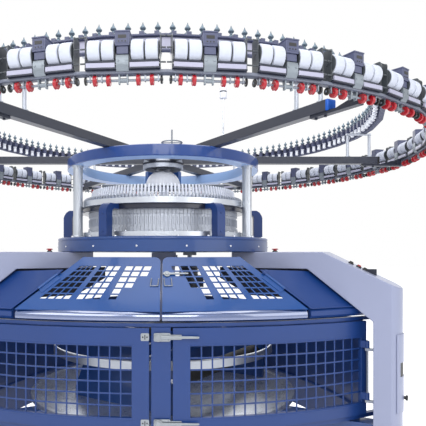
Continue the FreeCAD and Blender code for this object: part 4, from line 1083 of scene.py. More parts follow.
    def build(self) -> None:
        """Make both doors with their fittings."""
        for door, flip in (("door_right", False), ("door_left", True)):
            for part, draft, edges in (
                ("frame", self.leaf(), {"bevel": 2.2}),
                ("mesh", self.mesh(), {"bevel": 0.8}),
                ("beading", self.beading(), {"sharp": 50.0}),
                ("knuckles", self.knuckles(), {"bevel": 0.8}),
            ):
                shape = draft.mirrored() if flip else draft
                nodes = (door,) if part == "frame" else ()
                MAKER.piece(f"{door}_{part}", shape, Look.DOOR, *nodes, body=door, **edges)
        plates, keepers, rods = self.latch_plates(), self.keepers(), self.rods()
        MAKER.piece("door_latch_plates", plates, Look.LATCH, body="door_right", bevel=0.8)
        MAKER.piece("door_latch_screws", self.screws(), Look.GREY_STEEL, body="door_right")
        MAKER.piece("door_keeper_dark_marks", self.keeper_dark_marks(), Look.BLACK, body="door_left")
        MAKER.piece("door_keepers", keepers, Look.LATCH, body="door_left", bevel=0.8)
        rods.join(rods.mirrored())
        MAKER.piece("hinge_rods", rods, Look.GREY_STEEL, "door_hinge_rods", bevel=0.8)
        for place, height in zip(("upper", "lower"), self.latch_heights):
            name, node = f"latch_{place}_handle", f"latch_lever_{place}"
            MAKER.piece(name, self.lever(height), Look.LATCH, node, bevel=0.6)


@dataclass
class Lids:
    """The two punched lids over the doors, with the panels beside them."""

    top_z: float = 1180.0
    lip_top: float = 902.0
    lip_bottom: float = 850.0
    top_y: float = 738.0
    top_reach: float = 448.0
    bottom_reach: float = 788.0
    gap: float = 6.0
    corner: float = 33.0
    sheet: float = 4.0
    tray: float = 22.0
    hinge_gap: float = 20.0
    hinge_lift: float = 9.0
    hinge_place: float = 170.0
    hinge_length: float = 130.0
    rows: int = 6
    window_top: float = 58.0
    window_low: float = 290.0
    bar_share: float = 0.10
    groups: tuple[tuple[Pair, Pair, int], ...] = (
        ((40.0, 195.0), (104.0, 262.0), 3),
        ((216.0, 338.0), (300.0, 440.0), 3),
        ((356.0, 455.0), (470.0, 648.0), 4),
    )
    u: np.ndarray = field(init=False)
    v: np.ndarray = field(init=False)
    normal: np.ndarray = field(init=False)
    origin: np.ndarray = field(init=False)
    length: float = field(init=False)
    edge_top: float = field(init=False)
    edge_low: float = field(init=False)
    inner_low: float = field(init=False)

    def __post_init__(self) -> None:
        """Work out the sloping plane: u along the top edge, v down the slope."""
        out = np.array(WALL.at(self.bottom_reach, self.lip_top))
        inside = np.array(WALL.at(0.0, self.lip_top))
        self.u = np.array([out[0] - inside[0], out[1] - inside[1], 0.0])
        self.u /= np.linalg.norm(self.u)
        level = np.array([self.u[1], -self.u[0], 0.0])
        self.origin = np.array([0.0, -self.top_y, self.top_z])
        run = float(np.dot(inside - self.origin, level))
        drop = self.top_z - self.lip_top
        self.length = math.hypot(run, drop)
        self.v = np.array([level[0] * run, level[1] * run, -drop]) / self.length
        self.normal = np.cross(self.v, self.u)
        self.edge_top = self.top_reach / self.u[0]
        self.edge_low = float(np.dot(out - self.origin, self.u))
        self.inner_low = float(np.dot(inside - self.origin, self.u))

    def at(self, u: float, v: float, out: float = 0.0) -> Point:
        """Point of the right lid's plane, lifted off its outer face."""
        return tuple(self.origin + self.u * u + self.v * v + self.normal * out)

    def inner(self, v: float) -> float:
        """Find the inner edge, with its rounded upper corner.

        Args:
            v: distance down the slope.

        Returns:
            The edge's U.
        """
        straight = self.gap + self.inner_low * v / self.length
        if v >= self.corner:
            return straight
        return straight + self.corner - math.sqrt(self.corner**2 - (self.corner - v) ** 2)

    def outer(self, v: float) -> float:
        """U of the slanted outer edge."""
        return self.edge_top + (self.edge_low - self.edge_top) * v / self.length

    def stops(self) -> list[float]:
        """Distances down the slope at which the rounded corner is drawn."""
        return [0.0, 2.0, 5.0, 10.0, 17.0, 25.0, self.corner]

    def lines(self) -> tuple[list[Pair], set[int]]:
        """Lay out the punched columns.

        Returns:
            The grid lines as U at the window's top and foot, and the columns that are punched.
        """
        found: list[Pair] = []
        punched = set()
        for (top0, top1), (low0, low1), columns in self.groups:
            for column in range(columns):
                for edge in (self.bar_share, 1.0 - self.bar_share):
                    share = (column + edge) / columns
                    found.append((top0 + (top1 - top0) * share, low0 + (low1 - low0) * share))
                punched.add(len(found) - 1)
        return found, punched

    def skin(self) -> Draft:
        """Punched top sheet of the right lid.

        Returns:
            The sheet.
        """
        found, punched = self.lines()
        span = self.window_low - self.window_top
        vs = self.stops()
        first_row = len(vs)
        for row in range(self.rows):
            for edge in (self.bar_share, 1.0 - self.bar_share):
                vs.append(self.window_top + span / self.rows * (row + edge))
        vs.append(self.length)

        def line_u(i: int, v: float) -> float:
            """Find a grid line.

            Args:
                i: the line's number.
                v: distance down the slope.

            Returns:
                The line's U.
            """
            if i == 0:
                return self.inner(v)
            if i == len(found) + 1:
                return self.outer(v)
            top, low = found[i - 1]
            return max(top + (low - top) * (v - self.window_top) / span, self.inner(v) + i)

        def solid(i: int, j: int) -> bool:
            """Tell whether a cell isn't a punched hole.

            Args:
                i, j: its column and its row.

            Returns:
                Whether it is solid; the first two columns of holes stop short of the foot.
            """
            row, odd = divmod(j - first_row, 2)
            if i not in punched or odd or not 0 <= row < self.rows:
                return True
            return (i == 1 and row >= 2) or (i == 3 and row >= 4)

        def place(i: int, j: int, side: int) -> Point:
            """Point of a grid line crossing on one face of the sheet."""
            return self.at(line_u(i, vs[j]), vs[j], -self.sheet * side)

        return Draft().holed(len(found) + 1, len(vs) - 1, solid, place)

    def fold(self, edge: list[Pair], inset: list[Pair]) -> Draft:
        """Rim folded down along an edge.

        Args:
            edge: the edge as a line of (u, v).
            inset: the same line set in by the sheet.

        Returns:
            The rim.
        """
        loops = []
        for (u0, v0), (u1, v1) in zip(edge, inset):
            corners = ((u0, v0, 0.0), (u0, v0, -self.tray), (u1, v1, -self.tray), (u1, v1, -1.0))
            loops.append([self.at(*corner) for corner in corners])
        return Draft().loft(loops)

    def rims(self) -> Draft:
        """Folded rims on the right lid's inner, top and outer edges.

        Returns:
            The rims.
        """
        low = self.length - 2.0
        inner = [(self.inner(v), v) for v in (low, *reversed(self.stops()))]
        inset = [(u + self.sheet, max(v, self.sheet)) for u, v in inner]
        end = (self.outer(0.0), 0.0)
        draft = self.fold(inner + [end], inset + [(end[0] - self.sheet, self.sheet)])
        side = [(self.outer(v), v) for v in (0.0, low)]
        return draft.join(self.fold(side, [(u - 1.6 * self.sheet, v) for u, v in side]))

    def lip(self) -> Draft:
        """Rolled lip of the right lid.

        Returns:
            The lip.
        """
        section = [(-46.0, self.lip_bottom)]
        for middle, level, reach, start in (
            (-16.0, self.lip_bottom + 12.0, 12.0, -90.0),
            (-36.0, self.lip_top - 32.0, 32.0, 0.0),
        ):
            for step in range(9):
                turn = math.radians(start + 90.0 * step / 8)
                section.append((middle + reach * math.cos(turn), level + reach * math.sin(turn)))
        section.append((-46.0, self.lip_top))
        return WALL.sweep(section, self.gap, self.bottom_reach, 40)

    def handle(self) -> Draft:
        """Bent wire handle on the right lid.

        Returns:
            The handle.
        """
        v0, v1 = 152.0, 198.0
        u0 = self.inner(v1) + 12.0
        u1 = u0 + 40.0
        draft = Draft()
        corners = [(u0, v0), (u0, v1), (u1, v1), (u1, v0)]
        for near, far in zip(corners, corners[1:]):
            draft.rod(3.2, self.at(*near, 4.0), self.at(*far, 4.0))
        for u, v in corners:
            draft.rod(3.2, self.at(u, v, -1.0), self.at(u, v, 7.0), 12, 1.0)
        return draft

    def hinge_line(self, place: float) -> np.ndarray:
        """Find a point of the right lid's hinge line.

        Args:
            place: its distance down the line.

        Returns:
            The point.
        """
        across = self.hinge_gap / 2
        start = np.array(self.at(self.outer(0.0) + across, 0.0, self.hinge_lift))
        end = np.array(self.at(self.outer(self.length) + across, self.length, self.hinge_lift))
        return start + (end - start) / np.linalg.norm(end - start) * place

    def hinge(self) -> Draft:
        """Hinge barrel of the right lid, with its leaf down to the sheet.

        Returns:
            Both.
        """
        ends = [self.hinge_line(self.hinge_place + way) for way in (0.0, self.hinge_length)]
        draft = Draft().rod(8.0, tuple(ends[0]), tuple(ends[1]), 20, 0.8)
        along = self.hinge_line(1.0) - self.hinge_line(0.0)
        across = np.cross(along, self.normal)
        across *= -math.copysign(1.0, float(np.dot(across, self.u)))
        section = ((0.0, 9.0), (34.0, 9.0), (34.0, 6.0), (2.0, 2.0))
        loops = []
        for end in ends:
            loops.append([tuple(end + across * a - self.normal * b) for a, b in section])
        return draft.loft(loops)

    def gutter(self) -> Draft:
        """Gutter on the right filler that closes the gap under the lid's hinge side.

        Returns:
            The gutter.
        """
        section = ((-16, -26), (42, -26), (42, -3.5), (44, -3.5), (44, -28), (-16, -28))
        loops = []
        for v in (self.length * 0.27, self.length - 12.0):
            loops.append([self.at(self.outer(v) + a, v, b) for a, b in section])
        return Draft().loft(loops)

    def latch(self) -> Draft:
        """Turning latch across the two lids.

        Returns:
            Its hub and its lever.
        """
        v = 120.0
        u = self.inner(v) + 24.0
        draft = Draft().rod(18.0, self.at(u, v, 0.6), self.at(u, v, 8.0), 28, 1.2)
        draft.rod(10.0, self.at(u, v, 7.5), self.at(u, v, 12.0), 20, 1.5)
        loops = []
        for along, half in ((-23, 4), (-19, 7), (0, 8), (60, 6), (112, 5.5), (118, 3)):
            crown = half * 0.7
            section = ((-half, 5.0), (half, 5.0), (crown, 10.5), (-crown, 10.5))
            loops.append([self.at(u + along, v + down, out) for down, out in section])
        return draft.loft(loops)

    def build(self) -> None:
        """Make both lids, their latch and the filler panels."""
        for lid, flip in (("lid_right", False), ("lid_left", True)):
            for part, draft, finish, bevel in (
                ("skin", self.skin(), Look.LID, 0.7),
                ("rims", self.rims(), Look.LID, 1.0),
                ("lip", self.lip(), Look.LIP_HIGHLIGHT, 0.8),
                ("handle", self.handle(), Look.GREY_STEEL, 0.0),
                ("barrel", self.hinge(), Look.LID, 0.5),
            ):
                shape = draft.mirrored() if flip else draft
                nodes = (lid,) if part == "skin" else ()
                MAKER.piece(f"{lid}_{part}", shape, finish, *nodes, body=lid, bevel=bevel)
        MAKER.piece("lid_latch", self.latch(), Look.LATCH, "lid_latch_lever", bevel=0.5)
        gutter = self.gutter()
        MAKER.piece("filler_gutters", gutter.join(gutter.mirrored()), Look.DOOR, sharp=50.0)
        MAKER.refined("filler_sheets", Look.DOOR, "filler_panels", 0.8)


# ---------------------------------------------------------------- knitting head
@dataclass
class Head:
    """Bed, cylinder, cam boxes, cap ring, feeder ring and yarn guides."""

    bed_low: float = 1210.0
    bed_top: float = 1300.0
    bed_radius: float = 722.0
    bore: float = 436.0
    base_radius: float = 590.0
    base_top: float = 1335.0
    cam_radius: float = 520.0
    cam_top: float = 1470.0
    cap_inner: float = 480.0
    cap_radius: float = 565.0
    cap_top: float = 1500.0
    feeder_radius: float = 590.0
    feeder_top: float = 1537.0
    guide_top: float = 1626.0
    guide_phase: float = 1.3
    stations: int = 136
    sides: int = 144

    def ring(self, inner: float, outer: float, low: float, high: float, ease: float = 2.0) -> Draft:
        """Flat ring about the axis with bevelled edges.

        Args:
            inner, outer: its radii.
            low, high: its heights.
            ease: width of the bevels.

        Returns:
            The ring.
        """
        profile = [
            (inner, low + ease), (inner + ease, low), (outer - ease, low), (outer, low + ease),
            (outer, high - ease), (outer - ease, high), (inner + ease, high), (inner, high - ease),
        ]
        return Draft().lathe(profile, self.sides)

    def bed(self) -> Draft:
        """Ring casting with its skirt, a rolled upper rim and a groove under it.

        Returns:
            The casting.
        """
        low, top, reach = self.bed_low, self.bed_top, self.bed_radius
        profile = [
            (self.bore, top - 25), (self.bore, top - 2), (self.bore + 2, top), (reach - 6, top),
            (reach - 2, top - 2), (reach, top - 6), (reach, top - 14), (reach - 2.5, top - 16),
            (reach - 2.5, top - 19), (reach, top - 21), (reach, low + 4), (reach - 3, low + 1),
            (reach - 8, low), (reach - 30, low), (reach - 30, top - 25),
        ]
        return Draft().lathe(profile, self.sides)

    def bed_screws(self) -> Draft:
        """Socket screws round the bed's skirt and top.

        Returns:
            All of them.
        """
        face = -self.bed_radius
        side = Draft().pin(6.0, 0.0, self.bed_low + 34.0, face + 1.0, face - 3.0, 12, 0.8)
        top = Draft().post(8.0, 0.0, -700.0, self.bed_top - 1.0, self.bed_top + 7.0, 12, 1.0)
        return Draft().join(side.around(evenly(16, 11.25)), top.around(evenly(24, 7.5)))

    def cam_box(self) -> Draft:
        """One cam box with its stepped front, slot and screw.

        Returns:
            The cam box.
        """
        pitch = math.pi / self.stations
        low, top, face = self.base_top, self.cam_top, self.cam_radius
        draft = Draft()
        for z0, z1, reach in (
            (low, low + 30, face),
            (low + 30.4, top - 26, face - 9),
            (top - 25.6, top, face - 3),
        ):
            near, far, back = self.bore * pitch - 0.7, reach * pitch - 0.8, -self.bore - 1
            draft.column([(-near, back), (near, back), (far, -reach), (-far, -reach)], z0, z1)
        draft.box(-2.0, 2.0, 3.0 - face, 12.0 - face, low + 44, low + 92)
        return draft.pin(3.4, 0.0, low + 15, 2.0 - face, -face - 1.5, 8)

    def guide(self) -> Draft:
        """One yarn guide: footed blade with an eyelet ring.

        Returns:
            The guide.
        """
        foot, top = self.feeder_top, self.guide_top
        blade = [
            (486, foot), (518, foot), (519, foot + 14), (504, foot + 30), (494, top - 4),
            (490, top), (487, top - 3),
        ]
        draft = Draft().plate(blade, -5.5, 5.5).box(-7.5, 7.5, -528, -500, foot, foot + 16)
        return draft.bar(4.5, -492.0, foot + 58, -7.0, 7.0, 10, 1.0)

    def clamp(self) -> Draft:
        """One clamp that holds a guide's foot."""
        draft = Draft().box(-4.0, 4.0, -552, -529, self.feeder_top, self.feeder_top + 22)
        return draft.post(5.0, 0.0, -541.0, self.feeder_top + 21, self.feeder_top + 30, 8, 1.0)

    def needles(self) -> Draft:
        """Needle tips in the cylinder's rim."""
        tip = Draft().box(-0.8, 0.8, -431.0, -427.5, 1466.0, 1480.0)
        return tip.around(evenly(2 * self.stations))

    def cylinder(self) -> Draft:
        """Needle cylinder with a bevelled upper rim.

        Returns:
            The cylinder.
        """
        profile = [
            (402, 1226), (402, 1472), (405, 1476), (424, 1476), (427, 1470), (432, 1466),
            (432, 1226),
        ]
        return Draft().lathe(profile, self.sides)

    def bracket(self) -> Draft:
        """One bracket from the bed over to the cap ring, with its bolts.

        Returns:
            The bracket.
        """
        top, low = self.cap_top, self.cam_top
        profile = [
            (635, self.bed_top), (695, self.bed_top), (695, top - 52), (690, top - 36),
            (676, top - 14), (655, top), (565.5, top), (565.5, low), (618, low), (632, low - 10),
            (635, low - 24),
        ]
        draft = Draft().plate(profile, -28.0, 28.0)
        for z in (1330.0, 1440.0):
            draft.pin(7.0, 0.0, z, -690.0, -698.0, 12, 1.0)
        return draft

    def build(self) -> None:
        """Make the knitting head."""
        base = self.ring(self.bore, self.base_radius, self.bed_top, self.base_top)
        cap = self.ring(self.cap_inner, self.cap_radius, self.cam_top, self.cap_top, 3.0)
        band = self.ring(self.cap_inner, self.feeder_radius, self.cap_top, self.feeder_top)
        stud = Draft().post(6.0, 0.0, -575.0, self.base_top - 1, self.base_top + 6, 10, 1.0)
        stations, guides = evenly(self.stations), evenly(self.stations, self.guide_phase)
        MAKER.piece("bed", self.bed(), Look.BED, "bed_plate")
        MAKER.piece("bed_screws", self.bed_screws(), Look.CHROME)
        MAKER.piece("cam_base", base, Look.STEEL, "cam_base_ring")
        MAKER.piece("cam_base_screws", stud.around(evenly(48)), Look.CHROME)
        MAKER.piece("cams", self.cam_box().around(stations), Look.ALLOY, "cam_boxes", bevel=0.6)
        # The cap ring's dark colour is painted shade under the feeder band.
        MAKER.piece("cap_ring", cap, Look.CAP, "sinker_cap_ring")
        MAKER.piece("brackets", self.bracket().around(ARMS), Look.DOOR, "cap_brackets", bevel=2.0)
        MAKER.piece("feeder_band", band, Look.STEEL, "feeder_ring")
        MAKER.piece("guides", self.guide().around(guides), Look.WHITE, "yarn_guides", bevel=0.6)
        MAKER.piece("guide_clamps", self.clamp().around(guides), Look.ALLOY, bevel=0.5)
        MAKER.piece("cylinder", self.cylinder(), Look.STEEL, "needle_cylinder")
        MAKER.piece("needles", self.needles(), Look.CHROME, body="cylinder")
        MAKER.piece("ring_gear", Draft().gear(140, 559.0, 433.0), Look.GREY_STEEL, "main_gear")
        MAKER.refined("gear_case_cover", Look.GREY_STEEL, "gear_cover", 0.8)


# ---------------------------------------------------------------- upper frame
@dataclass
class UpperFrame:
    """Uprights, top ring, arms, hub, dust fan, yarn hoop and signal lamp."""

    ring_low: float = 1763.0
    ring_top: float = 1830.0
    ring_radius: float = 660.0
    ring_inner: float = 560.0
    ring_sides: int = 144
    arm_top: float = 1880.0
    arm_end: float = 1502.0
    upright_foot: float = 1300.0
    upright_circle: float = 626.0
    hub_sides: int = 72
    motor_top: float = 1818.0
    motor_height: float = 29.0
    dome_top: float = 1788.6
    dome_height: float = 124.0
    pipe_lift: float = 16.0

    def upright(self) -> Draft:
        """One upright with collars at its foot and head.

        Returns:
            The upright.
        """
        low, top = self.upright_foot, self.ring_low
        profile = [
            (0, low), (44, low), (44, low + 12), (41, low + 15), (30, low + 16), (30, top - 14),
            (36, top - 13), (36, top), (0, top),
        ]
        return Draft().lathe(profile, 40, (0.0, -self.upright_circle, 0.0))

    def top_band(self) -> Draft:
        """Top ring with bevelled edges.

        Returns:
            The ring.
        """
        low, top, inner, reach = self.ring_low, self.ring_top, self.ring_inner, self.ring_radius
        profile = [
            (inner, low + 2), (inner + 2, low), (reach - 4, low), (reach, low + 4),
            (reach, top - 4), (reach - 4, top), (inner + 2, top), (inner, top - 2),
        ]
        return Draft().lathe(profile, self.ring_sides)

    def painted_light_sheet(self) -> Draft:
        """Pale sheet on the top ring's inner wall and underside, coloured as painted light on those
        faces.

        Returns:
            The sheet.
        """
        inner, low = self.ring_inner - 1.2, self.ring_low - 1.2
        outer, top = self.ring_radius - 5, self.ring_top - 3
        profile = [
            (inner, low), (outer, low), (outer, low + 1.6), (inner + 1.6, low + 1.6),
            (inner + 1.6, top), (inner, top),
        ]
        return Draft().lathe(profile, self.ring_sides)

    def valves(self) -> Draft:
        """Air valve blocks hung under the two rear arms.

        Returns:
            Both blocks.
        """
        draft = Draft().box(-36.0, 36.0, -202.0, -158.0, 1702.0, 1800.0)
        draft.box(-24.0, 24.0, -196.0, -164.0, 1799.0, self.ring_top)
        return draft.post(9.0, 0.0, -180.0, 1703.0, 1692.0, 16, 1.5).around((150.0, 210.0))

    def housing(self) -> Draft:
        """Ribbed alloy casing round the hub, between its flanges and under the lower one.

        Returns:
            The casing.
        """
        low, top = self.ring_top + 1, self.arm_top - 1
        draft = Draft()
        for z0, z1 in ((low, low + 13), (top - 13, top)):
            band = [(118, z0), (138, z0), (140, z0 + 2), (140, z1 - 2), (138, z1), (118, z1)]
            draft.lathe(band, self.hub_sides)
        rib = Draft().box(-5.0, 5.0, -141.0, -112.0, low, top)
        pairs = [azimuth + step for azimuth in evenly(6, 60.0) for step in (-9.0, 9.0)]
        plate = [(126, 1790), (141, 1790), (141, 1818), (126, 1818)]
        return draft.join(rib.around(pairs), Draft().lathe(plate, self.hub_sides))

    def ring_bolts(self) -> Draft:
        """Bolts on the top ring beside each arm.

        Returns:
            All of them.
        """
        draft = Draft()
        for x in (-48.0, 48.0):
            draft.post(9.0, x, -608.0, self.ring_top, self.ring_top + 8.0, 6, 1.0)
        return draft.around(ARMS)

    def hub(self) -> Draft:
        """Hub core between two flanges.

        Returns:
            The hub.
        """
        draft = Draft()
        for z in (self.motor_top, self.arm_top):
            flange = [(0, z), (143, z), (145, z + 2), (145, z + 10), (143, z + 12), (0, z + 12)]
            draft.lathe(flange, self.hub_sides)
        core = [polar(90 / math.cos(math.pi / 6), 60.0 * side) for side in range(6)]
        return draft.column(core, self.ring_top - 1, self.arm_top + 1)

    def hub_bolts(self) -> Draft:
        """Bolts and the boss on the hub's upper flange.

        Returns:
            All of them.
        """
        draft = Draft()
        low = self.arm_top + 11.0
        for x in (-22.0, 22.0):
            draft.post(7.0, x, -122.0, low, low + 8.0, 6, 1.0)
        return draft.around(ARMS).post(30.0, 0.0, 0.0, low, low + 13.0, 32, 2.0)

    def motor(self) -> Draft:
        """Fan motor with cooling ribs.

        Returns:
            The motor.
        """
        low, top = self.motor_top - self.motor_height, self.motor_top
        draft = Draft().box(-52.0, 52.0, -38.0, 38.0, low, top)
        for rib in range(11):
            x = -60.0 + 11.6 * rib
            draft.box(x, x + 4.0, -45.0, 45.0, low + 1.0, top - 1.0)
        return draft

    def dome(self) -> Draft:
        """Half-round cover of the fan.

        Returns:
            The cover.
        """
        top = self.dome_top
        base = top - self.dome_height

        def arc(across: float, up: float, degrees: Iterable[int]) -> list[Pair]:
            """Points of a quarter ellipse at some angles."""
            turns = [math.radians(degree) for degree in degrees]
            return [(across * math.cos(turn), base + up * math.sin(turn)) for turn in turns]

        crown = [(14.0, top - 0.2), (0.0, top - 0.2), (0.0, top - 4.0)]
        outside, inside = arc(124, 123.5, range(0, 85, 6)), arc(120.5, 119, range(84, -1, -6))
        return Draft().lathe(outside + crown + inside, 64)

    def blades(self) -> Draft:
        """Blow pipes with their nozzles and the fan's shaft.

        Returns:
            The pipes, the nozzles and the shaft.
        """
        z = self.dome_top - self.dome_height + self.pipe_lift
        draft = Draft().bar(8.8, 0.0, z, -429.0, 429.0, 16, 1.5)
        draft.post(10.0, 0.0, 0.0, z - 8, z + 104, 16)
        for x0, x1 in ((-428.0, -372.0), (372.0, 428.0)):
            loops = []
            for drop, half in ((0.0, 5.0), (30.0, 4.0), (46.0, 1.8)):
                outline = ((x0, -half), (x1, -half), (x1, half), (x0, half))
                loops.append([(x, y, z - drop) for x, y in outline])
            draft.loft(loops)
        return draft

    def hoop(self) -> Draft:
        """Yarn hoop: round rim, crossbar and rod.

        Returns:
            The hoop.
        """
        x, y, _ = polar(618.0, 5.4)
        z = self.ring_top + 14.0
        draft = Draft().lathe([(59.0 + a, b) for a, b in circle(3.8, 10)], 48, (x, y, z))
        draft.bar(3.0, y, z, x - 57.0, x + 57.0, 10)
        return draft.post(4.6, x, y, self.ring_top, self.ring_top + 90.0, 14, 1.0)

    def lamp(self) -> tuple[Draft, Draft, Draft]:
        """Signal lamp on an arm.

        Returns:
            Its post, its sleeve and its dark band.
        """
        x, y, z = polar(712.0, 30.0, self.arm_top)
        post = Draft().post(4.8, x, y, z, z + 221.0, 16)
        post.lathe([(0, 0), (16, 0), (16, 6), (13, 9), (0, 9)], 28, (x, y, z))
        sleeve = Draft().lathe([(0, 220), (19, 220), (21, 223), (21, 254), (0, 254)], 32, (x, y, z))
        sleeve.lathe([(0, 262), (21, 262), (21, 284), (17, 289), (0, 290)], 32, (x, y, z))
        band = Draft().lathe([(0, 254), (20, 254), (20, 262), (0, 262)], 32, (x, y, z))
        return post, sleeve, band

    def cap(self) -> Draft:
        """Moulded end cap of an arm.

        Returns:
            The cap.
        """
        loops = []
        for out, inset in ((0.0, 0.0), (11.0, 0.0), (15.0, 2.5), (15.8, 6.0)):
            half = 25 - inset
            section = eased(-half, half, self.ring_top + inset, self.arm_top - inset, 3.0)
            loops.append([(x, -self.arm_end - out, z) for x, z in section])
        return Draft().loft(loops)

    def build(self) -> None:
        """Make the upper frame."""
        post, sleeve, band = self.lamp()
        MAKER.piece("upright_columns", self.upright().around(LEGS), Look.SATIN, "uprights")
        MAKER.piece("top_band", self.top_band(), Look.TOP, "top_ring")
        MAKER.piece("top_ring_painted_light", self.painted_light_sheet(), Look.PAINTED_LIGHT_LINER)
        MAKER.piece("fan_valve_blocks", self.valves(), Look.CAP_BLUE, bevel=2.0)
        MAKER.piece("hub_housing", self.housing(), Look.ALLOY, bevel=1.0)
        MAKER.piece("top_ring_bolts", self.ring_bolts(), Look.GREY_STEEL)
        MAKER.refined("arms", Look.ARM, "ring_arms", 2.0)
        MAKER.piece("arm_cap_right", self.cap().turned(ARMS[0]), Look.BLUE, "arm_caps")
        MAKER.piece("arm_caps_dark", self.cap().around(ARMS[1:]), Look.BLACK, "arm_caps")
        MAKER.piece("hub", self.hub(), Look.DARK, "arm_hub", bevel=1.0)
        MAKER.piece("hub_bolts", self.hub_bolts(), Look.GREY_STEEL)
        MAKER.piece("fan_drive", self.motor(), Look.GREY_STEEL, "fan_motor", bevel=1.0)
        MAKER.piece("fan_dome", self.dome(), Look.WHITE, "dust_fan")
        MAKER.piece("fan_pipes", self.blades(), Look.GREY_STEEL, body="dust_fan")
        MAKER.piece("hoop", self.hoop(), Look.GREY_STEEL, "yarn_hoop")
        MAKER.piece("lamp_post", post, Look.STEEL, "signal_lamp")
        MAKER.piece("lamp_sleeve", sleeve, Look.WHITE)
        MAKER.piece("lamp_band", band, Look.DARK)


# ---------------------------------------------------------------- the two rings
@dataclass
class OuterRing:
    """Thirty-four bays with yarn packages, drive units and yarn wheels.

    The pieces of a bay are drawn with the ring's line as Y = 0 and moved out to it.
    """

    bays: int = 34
    phase: float = 6.33
    apothem: float = 1690.0
    rail_low: float = 1851.0
    rail_top: float = 1863.0
    rail_half: float = 18.0
    axis_z: float = 1935.0
    package_radius: float = 42.0
    package_half: float = 23.0
    pair: float = 80.0
    wheel_z: float = 1831.0
    unit_reach: float = 35.0
    unit_top: float = 2001.0

    def placed(self, draft: Draft) -> Draft:
        """Copies of one bay's piece in every bay."""
        return draft.moved(0.0, -self.apothem, 0.0).around(evenly(self.bays, self.phase))

    def packages(self) -> Draft:
        """Both pairs of packages of a bay.

        Returns:
            Four packages with rounded shoulders.
        """
        reach, half = self.package_radius, self.package_half
        profile = [
            (9, -half), (reach - 5, -half), (reach - 1.5, 1.5 - half), (reach, 5 - half),
            (reach, half - 5), (reach - 1.5, half - 1.5), (reach - 5, half), (9, half),
        ]
        package = Draft().lathe(profile, 32).laid()
        middles = [side * self.pair + offset for side in (-1, 1) for offset in (-26.0, 26.0)]
        return Draft().join(*[package.moved(x, 0.0, self.axis_z) for x in middles])

    def discs(self) -> Draft:
        """Dark discs and spindles at the packages' ends.

        Returns:
            Those of one bay.
        """
        draft = Draft()
        for middle in (-self.pair, self.pair):
            for end, reach in ((-52.0, 38.0), (-1.2, 36.0), (50.0, 38.0)):
                x = middle + end
                draft.bar(reach, 0.0, self.axis_z, x, x + 2.2, 28, 0.6)
            draft.bar(7.0, 0.0, self.axis_z, middle - 53, middle + 53)
        return draft

    def posts(self) -> Draft:
        """Dark end plates of a bay and the cross bars between neighbouring bays.

        Returns:
            Those of one bay.
        """
        draft = Draft()
        for side in (-1, 1):
            x = side * 137.0
            draft.plate(eased(-24.0, 24.0, 1863.5, 1991.0, 10.0), x - 1.5, x + 1.5)
            draft.bar(6.5, 0.0, self.axis_z, x - 2.5, x + 2.5, 6, 0.5)
            for z in (1888.0, 1941.0, 1983.0):
                draft.rod(3.2, (x, -20.0, z), (side * 156.5, -18.0, z), 8)
        return draft

    def rollers(self) -> Draft:
        """Dark roller bars that the packages lie on, along each pair.

        Returns:
            Those of one bay, with their base plates.
        """
        draft = Draft()
        for middle in (-self.pair, self.pair):
            for y in (-20.0, 20.0):
                draft.bar(6.0, y, 1892.0, middle - 55.0, middle + 55.0, 12, 1.0)
            draft.box(middle - 57, middle + 57, -33, 33, 1863.2, 1868.0)
        return draft

    def trays(self) -> Draft:
        """Pale bars under the rollers of each pair.

        Returns:
            Those of one bay.
        """
        draft = Draft()
        for middle in (-self.pair, self.pair):
            for y in (-34.0, 26.0):
                draft.box(middle - 53, middle + 53, y, y + 8.0, 1868.0, 1885.0)
            draft.box(middle - 50, middle + 50, -24, 24, 1869.0, 1876.0)
        return draft

    def clamp(self) -> Draft:
        """Cast clamp under a bay's drive unit, down to the wheel shaft.

        Returns:
            The clamp.
        """
        front = self.unit_reach
        profile = [
            (front - 14, 1917), (front - 5, 1914), (front, 1905), (front, 1878), (front - 4, 1866),
            (front - 14, 1857), (front - 56, 1857), (front - 66, 1866), (front - 70, 1878),
            (front - 70, 1917),
        ]
        foot = [(11, 1857.5), (7, 1817), (-7, 1817), (-11, 1857.5)]
        draft = Draft().plate(profile, -23.0, 23.0)
        for x in (-15.0, 15.0):
            draft.pin(4.0, x, 1892.0, 1 - front, -front - 2.5, 10, 0.8)
            draft.plate(foot, x - 3.0, x + 3.0)
        return draft.bar(8.0, 0.0, self.wheel_z, -19.0, 19.0, 14, 1.0)

    def unit(self) -> Draft:
        """Slate drive unit with a recessed front and a lid line.

        Returns:
            The unit.
        """
        reach, half, seam = self.unit_reach, 27.0, self.unit_top - 6.0
        draft = Draft().box(-half, half, 2.0 - reach, reach, 1946.0, seam)
        draft.box(-half - 1.5, half + 1.5, -reach, reach - 1.0, seam, self.unit_top)
        draft.box(5.0 - half, half - 5.0, 7.0 - reach, reach, 1918.0, 1946.0)
        return draft.box(6.0 - half, half - 6.0, 0.6 - reach, 4.0 - reach, 1954.0, 1988.0)

    def display(self) -> Draft:
        """Small dark window and keys on the drive unit's front.

        Returns:
            The window and three keys.
        """
        front = -self.unit_reach
        draft = Draft().box(-15.0, 15.0, front - 0.4, front + 1.2, 1972.0, 1984.0)
        for x in (-12.0, 0.0, 12.0):
            draft.pin(2.6, x, 1961.0, front + 1.0, front - 0.8, 10)
        return draft

    def wheels(self) -> Draft:
        """Red yarn wheels of a bay, each with raised rims.

        Returns:
            Four wheels.
        """
        reach, half = 19.8, 8.0
        flank = [(4, half), (7, half), (8, half - 2), (reach - 5, half - 2)]
        flank += [(reach - 2, half - 1), (reach, half - 3)]
        profile = [(radius, -z) for radius, z in flank] + [(reach - 1.5, 0.0)] + flank[::-1]
        wheel = Draft().lathe(profile, 24).laid()
        middles = [side * self.pair + offset for side in (-1, 1) for offset in (-25.0, 25.0)]
        return Draft().join(*[wheel.moved(x, 0.0, self.wheel_z) for x in middles])

